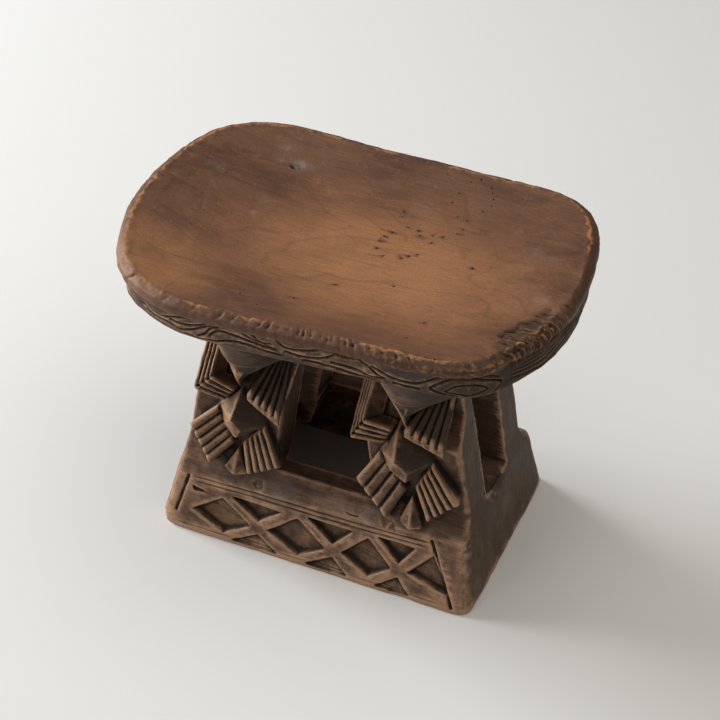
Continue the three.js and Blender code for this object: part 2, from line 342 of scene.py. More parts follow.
@dataclass
class RimRuler:
    """Measures round the seat, from the middle of its front towards the right.

    Attributes:
        height: Level of the widest ring of the solid.
        near: How far from that level its corners may lie.
        outer: Share of the solid's half sizes outside which that ring lies.
        steps: Even steps of angle in which the ring is kept.
    """

    height: float = 331.0
    near: float = 0.3
    outer: float = 0.94
    steps: int = 360
    angles: Points = field(init=False)
    radii: Points = field(init=False)
    slopes: Points = field(init=False)
    ways: Points = field(init=False)

    def measure(self, corners: Points) -> None:
        """Reads the ring from the solid's corners.

        Args:
            corners: The corners, one row each.
        """
        ring = corners[np.abs(corners[:, 2] - self.height) < self.near]
        half_length, half_depth = np.abs(corners[:, :2]).max(axis=0)
        ring = ring[np.hypot(ring[:, 0] / half_length, ring[:, 1] / half_depth) > self.outer]
        turns = np.arctan2(ring[:, 1], ring[:, 0])
        order = np.argsort(turns)
        self.angles = np.linspace(-math.pi, math.pi, self.steps + 1)
        reach = np.hypot(ring[:, 0], ring[:, 1])[order]
        self.radii = np.interp(self.angles, turns[order], reach, period=2 * math.pi)
        self.slopes = np.gradient(self.radii, self.angles)
        line = np.stack([np.cos(self.angles), np.sin(self.angles)], axis=1) * self.radii[:, None]
        pieces = np.hypot(*np.diff(line, axis=0).T)
        self.ways = np.concatenate([[0.0], np.cumsum(pieces)])

    def total(self) -> float:
        """Gives the length round the whole rim."""
        return float(self.ways[-1])

    def along(self, points: Points) -> Points:
        """Gives the way round the rim.

        Args:
            points: Places in space.

        Returns:
            The way to each point, less than 0 to the left of the front's middle.
        """
        turns = np.arctan2(points[:, 1], points[:, 0])
        front = np.interp(-math.pi / 2, self.angles, self.ways)
        way = np.interp(turns, self.angles, self.ways) - front
        return (way + self.total() / 2) % self.total() - self.total() / 2

    def inset(self, points: Points) -> Points:
        """Gives how far points lie in from the rim, about square to it.

        Args:
            points: Places in space.

        Returns:
            Distances, less than 0 outside the rim.
        """
        turns = np.arctan2(points[:, 1], points[:, 0])
        reach = np.interp(turns, self.angles, self.radii)
        lean = reach / np.hypot(reach, np.interp(turns, self.angles, self.slopes))
        return (reach - np.hypot(points[:, 0], points[:, 1])) * lean


# Skin of the stool


def choose(piece: bpy.types.Object) -> None:
    """Selects one object and nothing else, and makes it the active one.

    Args:
        piece: The object.
    """
    bpy.ops.object.select_all(action="DESELECT")
    piece.select_set(True)
    bpy.context.view_layer.objects.active = piece


def read_rows(data: Any, name: str) -> Points:
    """Reads three numbers for each item of a mesh.

    Args:
        data: The mesh's points, directions or faces.
        name: What is read of each.

    Returns:
        One row for each item.
    """
    flat = np.empty(len(data) * 3, np.float32)
    data.foreach_get(name, flat)
    return flat.reshape(-1, 3).astype(float)


def spread(values: Points, edges: Points, rounds: int, keep: float = 0.4) -> Points:
    """Spreads values over neighbouring points.

    Args:
        values: One number or row for each point.
        edges: The two points of each edge.
        rounds: How often each point takes its neighbours' mean.
        keep: Share of its own value that a point keeps each time.

    Returns:
        The smoothed values.
    """
    start, end = edges.T
    count = len(values)
    neighbours = np.bincount(start, minlength=count) + np.bincount(end, minlength=count)
    neighbours = np.maximum(neighbours, 1)
    columns = np.atleast_2d(values.T).copy()
    for _ in range(rounds):
        for row in columns:
            total = np.bincount(start, row[end], count) + np.bincount(end, row[start], count)
            row[:] = keep * row + (1 - keep) * total / neighbours
    return columns.T if values.ndim > 1 else columns[0]


@dataclass
class Skin:
    """The stool's surface as arrays, in millimetres.

    Attributes:
        mesh: The mesh behind it.
        points: Places of its points.
        normals: Outward directions there.
        edges: The two points of each edge.
    """

    mesh: bpy.types.Mesh
    points: Points = field(init=False)
    normals: Points = field(init=False)
    edges: Points = field(init=False)

    def __post_init__(self) -> None:
        """Reads the mesh."""
        self.points = read_rows(self.mesh.vertices, "co") / MM
        self.normals = read_rows(self.mesh.vertex_normals, "vector")
        ends = np.empty(len(self.mesh.edges) * 2, np.int32)
        self.mesh.edges.foreach_get("vertices", ends)
        self.edges = ends.reshape(-1, 2)

    def write(self) -> None:
        """Puts the points back into the mesh, and reads the new directions."""
        self.mesh.vertices.foreach_set("co", (self.points * MM).astype(np.float32).ravel())
        self.mesh.update()
        self.normals = read_rows(self.mesh.vertex_normals, "vector")

    def averaged_within(self, only: Points, rounds: int) -> Points:
        """Smooths the places of some points alone.

        Args:
            only: True for each point that takes part.
            rounds: How often each of them takes its neighbours' mean.

        Returns:
            The places of all points, those of the others unchanged.
        """
        edges = self.edges[only[self.edges].all(axis=1)]
        number = np.cumsum(only) - 1
        places = self.points.copy()
        places[only] = spread(self.points[only], number[edges], rounds)
        return places

    def hollowness(self, rounds: int) -> Points:
        """Gives how far each point lies below its surroundings."""
        around = spread(self.points, self.edges, rounds)
        return np.einsum("ij,ij->i", around - self.points, self.normals)

    def push_in(self, depth: Points) -> None:
        """Moves every point inwards by a depth of its own."""
        self.points -= self.normals * depth[:, None]

    def store(self, wear: WearAndLight, values: Points) -> None:
        """Keeps one kind of wear on the mesh, for the finish to read."""
        layer = self.mesh.attributes.new(wear.value, "FLOAT", "POINT")
        layer.data.foreach_set("value", values.astype(np.float32))


@dataclass(frozen=True)
class BandCarving:
    """Waving lines round the upright band below the lip.

    The places are the way round the rim from the middle of the front, and the height.

    Attributes:
        width: Full width of a line.
        depth: Its depth.
        front_lines: The lines that the photograph shows on the front.
        almond: Outline of the almond at the front's right end.
        almond_eye: The smaller outline inside it.
        plain_from: Way at which the plainer lines start, past the almond.
        plain_short: How far before the front's left end they stop.
        rows: How many of them run one above the other.
        foot: Height of the lowest, and the rise from one to the next.
        ends: How much later each starts and earlier each stops than the one below.
        step: Way between two points of such a line.
        swings: Height, length and lag of the two waves that each line follows.
    """

    width: float = 3.6
    depth: float = 2.3
    front_lines: tuple[Line, ...] = (
        ((-167, 308), (-151, 307), (-136, 308), (-119, 314), (-93, 323)),
        ((-160, 305), (-145, 303), (-129, 304), (-116, 302), (-105, 305), (-87, 314),
         (-62, 322), (-49, 323), (-38, 319), (-34, 315), (-24, 310), (-14, 308)),
        ((-98, 300), (-88, 306), (-81, 314), (-60, 321)),
        ((-85, 304), (-74, 313), (-58, 313), (-42, 311), (-26, 308), (-12, 307)),
        ((-16, 322), (-11, 316), (-2, 312), (13, 313), (27, 317), (38, 323)),
        ((-6, 308), (10, 306), (26, 307), (41, 313), (51, 322)),
        ((41, 307), (62, 306), (73, 304), (82, 301), (98, 303)),
        ((62, 323), (73, 316), (82, 311), (90, 305), (98, 303)),
        ((82, 314), (93, 310), (104, 306), (116, 305), (128, 306), (139, 312), (150, 318)),
        ((-128, 309), (-112, 309), (-96, 313), (-78, 321)),
        ((-112, 299), (-96, 298), (-78, 300), (-62, 305), (-44, 306), (-26, 303), (-6, 302)),
        ((-50, 319), (-42, 315), (-32, 312), (-18, 312)),
        ((12, 302), (32, 302), (52, 301), (72, 299), (94, 298)),
        ((20, 322), (36, 319), (52, 317), (66, 318), (78, 322)),
        ((104, 301), (118, 300), (132, 300)),
        ((152, 322), (168, 324), (186, 321), (204, 313)))
    almond: Line = (
        (140, 303), (148, 310), (158, 317), (171, 319), (188, 315), (207, 306),
        (196, 296), (182, 295), (169, 296), (154, 299), (140, 303))
    almond_eye: Line = (
        (154, 302), (161, 308), (171, 311), (182, 310), (192, 304), (182, 300), (168, 300),
        (154, 302))
    plain_from: float = 210.0
    plain_short: float = 172.0
    rows: int = 4
    foot: Pair = (302.0, 4.7)
    ends: tuple[int, int] = (5, 9)
    step: float = 8.0
    swings: tuple[Triple, Triple] = ((3.2, 15.0, 0.45), (1.5, 41.0, 1.0))

    def plain_waves(self, total: float) -> tuple[Cut, ...]:
        """Gives the plainer lines of the right, the back and the left.

        Args:
            total: Length round the whole rim.

        Returns:
            The cuts, whose way runs on past the middle of the back.
        """
        cuts = []
        for row in range(self.rows):
            way = np.arange(self.plain_from + self.ends[0] * row,
                            total - self.plain_short - self.ends[1] * row, self.step)
            swing = np.zeros(len(way))
            for high, length, lag in self.swings:
                swing += high * np.sin(way / length + lag * row)
            height = self.foot[0] + self.foot[1] * row + swing
            cuts.append(Cut(tuple(zip(way, height)), self.width * 0.9, self.depth * 0.8, 0.02))
        return tuple(cuts)

    def depth_at(self, way: Points, height: Points, total: float) -> Points:
        """Gives the depth of the carving.

        Args:
            way: The way round the rim to each point.
            height: Height of each point.
            total: Length round the whole rim.

        Returns:
            Depths, 0 beside the lines.
        """
        lines = [Cut(line, self.width, self.depth, 0.05) for line in self.front_lines]
        lines.append(Cut(self.almond, self.width, self.depth * 1.1, 0.001))
        lines.append(Cut(self.almond_eye, self.width * 0.8, self.depth * 0.8, 0.001))
        front = deepest(tuple(lines), np.stack([way, height], axis=1))
        round_back = np.stack([np.where(way < 0, way + total, way), height], axis=1)
        return np.maximum(front, deepest(self.plain_waves(total), round_back))


@dataclass(frozen=True)
class RimWear:
    """The lip's ragged inner edge, its notches and the torn grain at one corner.

    Attributes:
        edge_inset: How far the ragged edge lies in from the rim.
        edge_level: Heights between which it sets in.
        edge_wander: Noise by which it strays.
        edge_breaks: Noise by which it is broken up.
        face_inset: Insets between which the lip's outer face ends.
        face_level: Heights between which that face sets in, for its colour.
        face_wander: Noise by which its borders stray.
        crust_level: Heights between which its crust sets in.
        crust: Noise of the crust.
        crust_ways: Ways round the rim where the crust sets in and leaves off.
        streak: Long streaks along the face.
        worn_level: Heights between which the top's wear sets in.
        crumbs: Finest wear of the top.
        lumps: Its broad wear.
        fibre: Fibres of the torn grain.
        fibre_cross: A second, weaker set of them.
        notches: Ways round the rim to small bites out of the ragged edge.
        torn_middle: Middle of the torn grain.
        torn_reach: How far it reaches.
        torn_stretch: How much further along X, Y and Z.
        torn_inset: Insets between which it ends.
        torn_level: Heights between which it sets in.
        torn_ragged: Noise by which its border strays.
    """

    edge_inset: float = 9.5
    edge_level: Pair = (330.0, 335.0)
    edge_wander: tuple[Layer, ...] = ((1.8, 41, (9.0, 9.0, 30.0)), (1.9, 42, (2.6, 2.6, 30.0)))
    edge_breaks: tuple[Layer, ...] = ((1.0, 46, (24.0, 24.0, 60.0)), (0.8, 47, (4.5, 4.5, 9.0)))
    face_inset: Pair = (9.5, 7.0)
    face_level: Pair = (320.0, 326.0)
    face_wander: tuple[Layer, ...] = ((2.0, 50, (12.0, 12.0, 30.0)), (1.2, 55, (4.0, 4.0, 6.0)))
    crust_level: Pair = (318.0, 323.0)
    crust: tuple[Layer, ...] = ((1.0, 53, (4.6, 4.6, 3.4)), (0.7, 54, (2.3, 2.3, 2.6)))
    crust_ways: tuple[Pair, Pair] = ((-120.0, -40.0), (250.0, 215.0))
    streak: LatticeNoise = LatticeNoise(56, (16.0, 16.0, 2.4))
    worn_level: Pair = (322.0, 330.0)
    crumbs: LatticeNoise = LatticeNoise(44, (3.2, 3.2, 3.2))
    lumps: LatticeNoise = LatticeNoise(45, (10.0, 10.0, 9.0))
    fibre: LatticeNoise = LatticeNoise(48, (15.0, 1.7, 6.0))
    fibre_cross: LatticeNoise = LatticeNoise(49, (9.0, 2.9, 6.0))
    notches: tuple[float, ...] = (
        -168, -121, -92, -66, -52, -38, -27, -19, -9, 1, 12, 17, 24, 33, 39, 43, 52, 58, 64,
        72, 80, 92, 105, 118, 149, 171, 300, 420, -260, -330, -395, 470, 540)
    torn_middle: Triple = (203.0, -66.0, 338.0)
    torn_reach: float = 38.0
    torn_stretch: Triple = (1.0, 1.25, 1.6)
    torn_inset: Pair = (30.0, 25.0)
    torn_level: Pair = (316.0, 322.0)
    torn_ragged: LatticeNoise = LatticeNoise(43, (8.0, 8.0, 8.0))

    def ragged_edge(self, points: Points, inset: Points) -> Points:
        """Gives 1 on the ragged edge and 0 away from it.

        Args:
            points: Places in space.
            inset: How far each point lies in from the rim.

        Returns:
            Values from 0 to 1.
        """
        wander = layered(points, *self.edge_wander)
        broken = layered(points, *self.edge_breaks)
        edge = bell(inset - self.edge_inset - wander, 0.0, 1.7 + 0.9 * broken)
        return (smooth_step(*self.edge_level, points[:, 2]) * edge
                * np.clip(0.75 + 0.6 * broken, 0.12, 1.0))

    def outer_face(self, points: Points, inset: Points) -> Points:
        """Gives 1 on the lip's outer face and 0 elsewhere.

        Args:
            points: Places in space.
            inset: How far each point lies in from the rim.

        Returns:
            Values from 0 to 1.
        """
        wander = layered(points, *self.face_wander)
        return smooth_step(*self.face_inset, inset + wander) * smooth_step(
            *self.face_level, points[:, 2] + wander)

    def torn_share(self, points: Points, inset: Points) -> Points:
        """Gives 1 where the grain is torn out and 0 elsewhere.

        Args:
            points: Places in space.
            inset: How far each point lies in from the rim.

        Returns:
            Values from 0 to 1.
        """
        ragged = self.torn_ragged.at(points)
        offset = (points - np.array(self.torn_middle)) / self.torn_stretch
        gap = np.linalg.norm(offset, axis=1) + 9 * ragged
        torn = smooth_step(self.torn_reach, self.torn_reach * 0.6, gap)
        return torn * smooth_step(*self.torn_inset, inset + 6 * ragged) * smooth_step(
            *self.torn_level, points[:, 2])

    def nicks(self, way: Points, lumps: Points) -> Points:
        """Gives how deep the notches bite.

        Args:
            way: The way round the rim to each point.
            lumps: The top's broad wear, which bends the notches.

        Returns:
            Depths, before they fade away from the edge.
        """
        depth = np.zeros(len(way))
        for i, notch in enumerate(self.notches):
            reach = 2.0 + 2.5 * math.sin(3.7 * i) ** 2
            deep = 1.0 + 1.4 * math.sin(2.3 * i + 1) ** 2
            gap = np.abs(way - notch + 1.5 * lumps) / reach
            depth = np.maximum(depth, deep * np.clip(1 - gap, 0, 1))
        return depth

    def crusted(self, points: Points, way: Points, inset: Points) -> Points:
        """Gives how deep the crust on the lip's outer face is.

        Args:
            points: Places in space.
            way: The way round the rim to each point.
            inset: How far each point lies in from the rim.

        Returns:
            Depths, slightly less than 0 where it stands proud.
        """
        crust = layered(points, *self.crust)
        start, stop = (smooth_step(*ways, way) for ways in self.crust_ways)
        broken = 0.12 + 0.88 * start * stop
        face = smooth_step(*self.face_inset, inset) * smooth_step(
            *self.crust_level, points[:, 2])
        lump = 0.6 * np.clip(crust, -0.3, 1.0)
        lump = lump + 0.55 * np.clip(self.streak.at(points), -0.2, 1.0)
        return face * (broken * (0.2 + lump) + 0.1 * crust)

    def depth_at(self, points: Points, way: Points, inset: Points) -> Points:
        """Gives how deep the rim is worn.

        Args:
            points: Places in space.
            way: The way round the rim to each point.
            inset: How far each point lies in from the rim.

        Returns:
            Depths of all its wear together.
        """
        top = smooth_step(*self.worn_level, points[:, 2])
        crumbs = self.crumbs.at(points)
        lumps = self.lumps.at(points)
        fibres = self.fibre.at(points) + 0.7 * self.fibre_cross.at(points)
        from_edge = inset - self.edge_inset
        inner = bell(from_edge, 6.5, 4.5) * 0.6
        outer = bell(from_edge, -5.0, 3.0) * 1.1
        depth = top * (inner * (1 + 0.3 * lumps) + outer * (1 + 0.5 * lumps))
        depth += top * bell(from_edge, 0.0, 4.0) * (0.5 + 0.8 * crumbs + 0.5 * lumps)
        depth += self.nicks(way, lumps) * top * bell(from_edge, -2.5, 5.0)
        depth += self.crusted(points, way, inset)
        splinters = 1.9 * fibres + 0.5 * crumbs
        return depth + self.torn_share(points, inset) * (1.9 + splinters)


@dataclass(frozen=True)
class SeatMarks:
    """Dents and cracks in the dish, by their place seen from above.

    Attributes:
        dents: Rows of X, Y, radius and depth.
        lines: The cracks and scratches.
        warp: Noise that makes the dents uneven.
    """

    dents: tuple[tuple[float, float, float, float], ...] = (
        (-102, 97, 5.5, 1.8), (-123, 115, 6.0, 0.6), (-118, 103, 5.0, 0.6),
        (-131, 122, 5.0, 0.4), (-110, 14, 6.0, 0.6), (-108, 38, 7.0, 0.5),
        (-170, 60, 9.0, 0.7), (187, -15, 6.0, 0.6), (176, 48, 5.0, 0.6),
        (158, 57, 5.5, 0.8), (55, -31, 2.0, 0.7), (-30, -96, 3.5, 0.6),
        (-60, 60, 7.0, 0.5), (120, -60, 8.0, 0.5), (-150, -50, 9.0, 0.5))
    lines: tuple[Cut, ...] = (
        Cut(((-209, 32), (-194, 23), (-180, 23), (-165, 22)), 2.0, 0.6, 0.2),
        Cut(((-165, 22), (-158, 8), (-152, -5), (-135, 2)), 1.8, 0.5, 0.2),
        Cut(((-188, 29), (-179, 42), (-170, 53), (-161, 64)), 1.8, 0.4, 0.2),
        Cut(((21, 88), (35, 86), (51, 86)), 1.8, 0.4, 0.2),
        Cut(((-80, 120), (-40, 117), (10, 119)), 1.8, 0.35, 0.2),
        Cut(((60, -70), (90, -66), (130, -64)), 1.8, 0.35, 0.2),
        Cut(((-190, -20), (-150, -26), (-118, -24)), 1.8, 0.4, 0.2))
    warp: tuple[Layer, ...] = ((0.55, 51, (7.0, 5.0, 20.0)), (0.35, 52, (4.0, 3.0, 20.0)))

    def depth_at(self, points: Points) -> Points:
        """Gives how deep the marks are.

        Args:
            points: Places in the dish.

        Returns:
            Depths, 0 beside the marks.
        """
        plan = points[:, :2]
        depth = np.zeros(len(points))
        warps = [layered(points, layer) for layer in self.warp]
        for x, y, radius, deep in self.dents:
            gap = np.hypot((plan[:, 0] - x) / 1.5, plan[:, 1] - y) / radius
            depth = np.maximum(depth, deep * smooth_step(1.0, 0.3, sum(warps, gap)))
        return np.maximum(depth, deepest(self.lines, plan))


@dataclass(frozen=True)
class InsectHoles:
    """Small round holes that insects left in the dish, by their place from above.

    Attributes:
        places: X and Y of each hole.
        radius: Radius of an average hole.
        depth: Depth of every hole.
        corners: Corners of the cone that bores one.
        taper: Shares of the radius at the cone's foot and head.
        from_above: Height from which the dish is looked for, in metres.
    """

    places: Line = (
        (67, 130), (75, 136), (88, 129), (91, 124), (95, 117), (96, 109), (61, 114),
        (59, 101), (16, 26), (18, 15), (28, 6), (45, 10), (50, 16), (56, 21), (17, 35),
        (22, 43), (33, 55), (44, 54), (48, 48), (59, 52), (69, 54), (79, 63), (82, 70),
        (62, 42), (22, 67), (21, 74), (71, 85), (81, 83), (91, 99), (55, -31), (98, -105),
        (134, -129), (102, -74), (-18, -88), (-64, -104), (-41, -116), (112, 18), (5, -52))
    radius: float = 0.95
    depth: float = 3.0
    corners: int = 8
    taper: Pair = (0.5, 1.5)
    from_above: float = 0.4

    def bore(self, piece: bpy.types.Object) -> None:
        """Bores the holes with slim cones, all in one cut.

        Args:
            piece: The stool's skin.
        """
        choose(piece)
        down = Vector((0, 0, -1))
        heights = []
        for x, y in self.places:
            hit = piece.ray_cast(Vector((x * MM, y * MM, self.from_above)), down)
            heights.append(hit[1].z)
        cones = []
        for i, ((x, y), height) in enumerate(zip(self.places, heights)):
            radius = self.radius * (0.8 + 0.45 * math.sin(5.1 * i) ** 2)
            foot, head = (radius * share * MM for share in self.taper)
            bpy.ops.mesh.primitive_cone_add(
                vertices=self.corners, radius1=foot, radius2=head,
                depth=2 * self.depth * MM, location=(x * MM, y * MM, height))
            cones.append(bpy.context.object)
        bpy.ops.object.select_all(action="DESELECT")
        for cone in cones:
            cone.select_set(True)
        bpy.context.view_layer.objects.active = cones[0]
        bpy.ops.object.join()
        drill = bpy.context.object
        choose(piece)
        cut = piece.modifiers.new("holes", "BOOLEAN")
        cut.operation = "DIFFERENCE"
        cut.solver = "MANIFOLD"
        cut.object = drill
        bpy.ops.object.modifier_apply(modifier=cut.name)
        bpy.data.objects.remove(drill)
        log.info("insect holes: %d", len(self.places))


@dataclass(frozen=True)
class BaseMarks:
    """Border lines of the front panel, and chips and worn corners of the base.

    Attributes:
        borders: The lines, by X and height.
        front: Y before which a point lies on the panel.
        dents: The chips and worn corners.
        warp_seeds: Seeds of the noise that makes the dents ragged.
        warp_size: Size of that noise.
    """

    borders: tuple[Cut, ...] = (
        Cut(((-136, 63), (-73, 65), (4, 66), (78, 68), (120, 70)), 2.6, 1.0, 0.03),
        Cut(((-132, 58), (-73, 60), (4, 61), (78, 63), (118, 65)), 2.4, 0.9, 0.03),
        Cut(((-150, 8), (-75, 8), (0, 8), (75, 8), (140, 8)), 2.2, 0.6, 0.03),
        Cut(((30, 74.5), (36, 73.5), (44, 74)), 1.8, 1.0, 0.03))
    front: float = -70.0
    dents: tuple[Dent, ...] = (
        Dent((71, -83, 77), 7.0, 1.6), Dent((79, -86, 73), 6.0, 1.4),
        Dent((-67, -83, 73), 6.0, 1.6), Dent((151, -26, 94), 3.0, 2.5),
        Dent((150, 0, 92), 22.0, 3.5), Dent((157, -80, 71), 8.0, 1.5),
        Dent((166, -70, 17), 12.0, 1.2), Dent((161, 12, 47), 12.0, 1.0),
        Dent((-168, -106, 4), 16.0, 4.0), Dent((168, -106, 2), 9.0, 2.0),
        Dent((-60, -109, 0), 13.0, 1.8), Dent((24, -109, 0), 10.0, 1.4),
        Dent((96, -109, 0), 16.0, 1.8), Dent((-41, 65, 69), 6.0, 2.0))
    warp_seeds: tuple[int, int, int] = (31, 32, 33)
    warp_size: Triple = (6.0, 6.0, 6.0)

    def depth_at(self, points: Points, normals: Points) -> Points:
        """Gives how deep the base is marked.

        Args:
            points: Places in space.
            normals: Outward directions there.

        Returns:
            Depths, 0 beside the marks.
        """
        on_panel = (normals[:, 1] < -0.5) & (points[:, 1] < self.front)
        lines = deepest(self.borders, np.stack([points[:, 0], points[:, 2]], axis=1))
        depth = np.where(on_panel, lines, 0.0)
        warp = np.stack([LatticeNoise(seed, self.warp_size).at(points)
                         for seed in self.warp_seeds], axis=1)
        for dent in self.dents:
            ragged = points + 0.55 * min(dent.radius, 9.0) * warp
            depth = np.maximum(depth, 0.8 * dent.depth_at(ragged))
        return depth


def patch_shares(points: Points, corners: list[Points], normal: Points) -> tuple[Points, Points]:
    """Finds where points lie on a four-cornered patch.

    Args:
        points: Places near the patch.
        corners: Start and end of its first edge, then end and start of its last.
        normal: Outward direction of the patch.

    Returns:
        Shares along the ridges and across them.
    """
    first, end_first = corners[:2]
    run_axis = (end_first - first) / np.linalg.norm(end_first - first)
    flat = np.stack([run_axis, np.cross(normal, run_axis)], axis=1)
    places = (points - first) @ flat
    b, c, d = ((corner - first) @ flat for corner in corners[1:])
    run = np.full(len(points), 0.5)
    across = np.full(len(points), 0.5)
    twist = c - b - d
    for _ in range(8):
        miss = places - run[:, None] * b - across[:, None] * d
        miss -= (run * across)[:, None] * twist
        along_run = b + across[:, None] * twist
        along_across = d + run[:, None] * twist
        size = along_run[:, 0] * along_across[:, 1] - along_run[:, 1] * along_across[:, 0]
        size = np.where(np.abs(size) < 1e-6, 1e-6, size)
        step_run = (miss[:, 0] * along_across[:, 1] - miss[:, 1] * along_across[:, 0]) / size
        step_across = (along_run[:, 0] * miss[:, 1] - along_run[:, 1] * miss[:, 0]) / size
        run = np.clip(run + step_run, -0.5, 1.5)
        across = np.clip(across + step_across, -0.5, 1.5)
    return run, across


@dataclass(frozen=True)
class LegRidges:
    """Grooves between the ridges of one leg's arms, on the patches that the solid has.

    The places are those of the solid: X to the right of the leg's middle seen from in front
    of it, and heights from the floor. The pattern turns about the leg's middle.

    Attributes:
        middle: The leg's place along the seat, from the middle of the base.
        turn: Turn of the pattern, in radians.
        lift: How far it is raised.
        size: Its size against the first leg's.
        counts: Ridges on the upper arm, the fan, the left and the right lower arm.
        back: Whether the leg is at the back, where the pattern is turned round.
        pattern_height: Height about which the pattern turns.
        collar_height: Height of the edge round the flare, on the leg's middle.
        groove: How much deeper the grooves are cut.
        groove_reach: Half the width of a groove.
        crown: How far the ridges are rounded off.
        patch_margin: How far beyond a patch its points are looked for.
        patch_off: How far off its plane they may lie.
        half_width: Distances from the leg's middle between which its carving ends.
        foot: Heights between which the carving sets in.
        head: Heights between which it leaves off.
        front: Distances from the base's middle between which it sets in.
        flare_foot: Heights between which the flare sets in.
    """

    middle: float
    turn: float
    lift: float
    size: float
    counts: tuple[int, int, int, int]
    back: bool = False
    pattern_height: float = 150.0
    collar_height: float = 218.0
    groove: float = 1.7
    groove_reach: float = 2.0
    crown: float = 0.15
    patch_margin: float = 2.0
    patch_off: float = 6.0
    half_width: Pair = (56.0, 46.0)
    foot: Pair = (80.0, 92.0)
    head: Pair = (294.0, 288.0)
    front: Pair = (62.0, 70.0)
    flare_foot: Pair = (204.0, 210.0)

    def spot(self, across: float, y: float, z: float) -> Points:
        """Places one corner of the pattern, before the leg itself is placed.

        Args:
            across: Its place to the right of the leg's middle, before the turn.
            y: Its depth.
            z: Its height, before the turn.

        Returns:
            The corner.
        """
        up = (z - self.pattern_height) * self.size
        out = across * self.size
        return np.array([
            out * math.cos(self.turn) - up * math.sin(self.turn),
            y,
            self.pattern_height + self.lift
            + out * math.sin(self.turn) + up * math.cos(self.turn),
        ])

    def patches(self) -> dict[str, tuple[list[Points], int]]:
        """Gives each patch as its four corners, first edge then last, and its ridges.

        Returns:
            Patches with their counts of ridges, by name.
        """
        spot = self.spot
        upper, fan, left, right = self.counts
        elbow, bend = spot(-45, -84, 174), spot(-27, -77, 191)
        boss_end, boss_top = spot(-15, -78, 165), spot(-3, -76, 181)
        fan_start, fan_end = spot(9, -78, 181), spot(45, -82, 162)
        return {
            "arm below": ([boss_end, elbow, bend, boss_top], upper),
            "arm above": ([elbow, elbow + (1, 38, 48), bend + (0, 31, 38), bend], upper),
            "fan": ([fan_start, fan_start + (14, 32, 27), fan_end + (-3, 37, 47), fan_end], fan),
            "left": ([spot(-24, -76, 154), spot(-50, -88, 130), spot(-29, -92, 87),
                      spot(-6, -80, 114)], left),
            "right": ([spot(27, -75, 143), spot(47, -86, 105), spot(12, -92, 87),
                       spot(4, -80, 118)], right),
        }

    def placed(self, corner: Points) -> Points:
        """Puts a corner of the pattern where the leg stands."""
        spot = corner + (self.middle, 0.0, 0.0)
        return (spot * (-1.0, -1.0, 1.0) if self.back else spot) + BASE_MIDDLE

    def on_patch(self, skin: Skin, corners: list[Points]) -> tuple[Points, ...]:
        """Finds the skin's points on one patch.

        Args:
            skin: The stool's surface.
            corners: The patch's corners, before the leg itself is placed.

        Returns:
            Numbers of the points, their shares along and across the patch, and its
            outward direction.
        """
        corners = [self.placed(corner) for corner in corners]
        first, end_first, end_last, last = corners
        normal = np.cross(end_first - first, last - first)
        normal /= np.linalg.norm(normal)
        if (normal[1] < 0) == self.back:
            normal = -normal
        middle = (first + end_first + end_last + last) / 4
        radius = max(np.linalg.norm(corner - middle) for corner in corners)
        near = np.flatnonzero(
            (np.linalg.norm(skin.points - middle, axis=1) < radius + self.patch_margin)
            & (np.abs((skin.points - middle) @ normal) < self.patch_off)
            & (skin.normals @ normal > 0.2))
        run, across = patch_shares(skin.points[near], corners, normal)
        return near, run, across, normal

    def cut(self, skin: Skin) -> None:
        """Deepens the grooves and rounds the ridges' ends.

        Args:
            skin: The stool's surface.
        """
        for corners, count in self.patches().values():
            near, run, across, normal = self.on_patch(skin, corners)
            first, end_first, end_last, last = corners
            width = np.linalg.norm(last - first) * (1 - run)
            width += np.linalg.norm(end_last - end_first) * run
            row = across * count
            line = np.clip(np.round(row), 1, count - 1)
            gap = np.abs(row - line) * width / count
            depth = self.groove * np.clip(1 - gap / self.groove_reach, 0, 1) ** 0.8
            crown = np.abs(row - np.floor(row) - 0.5) * 2
            depth += self.crown * crown ** 2
            depth += smooth_step(0.95, 1.02, run) * (0.5 + 1.1 * crown ** 2)
            inside = (run > -0.02) & (run < 1.04) & (across > -0.01) & (across < 1.01)
            skin.points[near] -= np.where(inside, depth, 0.0)[:, None] * normal

    def beside(self, points: Points) -> Points:
        """Gives how far points lie to the leg's right, seen from in front of it."""
        out = points[:, 0] - BASE_MIDDLE[0]
        return (-out if self.back else out) - self.middle

    def collar(self, points: Points) -> Points:
        """Gives how far points lie above the edge round the leg's flare.

        Args:
            points: Places in space.

        Returns:
            Heights above the edge, which rises to the leg's right.
        """
        beside = self.beside(points)
        steeper = np.maximum(beside - 15.0, 0.0)
        return points[:, 2] - (self.collar_height + self.lift + 0.2 * beside
                               + 0.012 * steeper ** 2)

    def carved_front(self, skin: Skin) -> tuple[Points, Points]:
        """Finds the carved front of the leg.

        Args:
            skin: The stool's surface.

        Returns:
            1 on the carving and 0 elsewhere, and how far each point faces the leg's right.
        """
        facing = skin.normals[:, 0] * (-1.0 if self.back else 1.0)
        height = skin.points[:, 2]
        away = np.abs(skin.points[:, 1] - BASE_MIDDLE[1])
        carved = smooth_step(*self.half_width, np.abs(self.beside(skin.points)))
        carved *= smooth_step(*self.foot, height)
        carved *= smooth_step(*self.head, height) * smooth_step(*self.front, away)
        return carved * ((skin.points[:, 1] > BASE_MIDDLE[1]) == self.back), facing

    def rubbed_and_lit(self, skin: Skin) -> Points:
        """Gives a painted highlight: how far the carving that faces the leg's left is made
        paler, from 0 to 1.
        """
        carved, facing = self.carved_front(skin)
        # Painted highlight: the carving that faces the leg's left is made paler.
        return carved * smooth_step(-0.1, -0.5, facing)

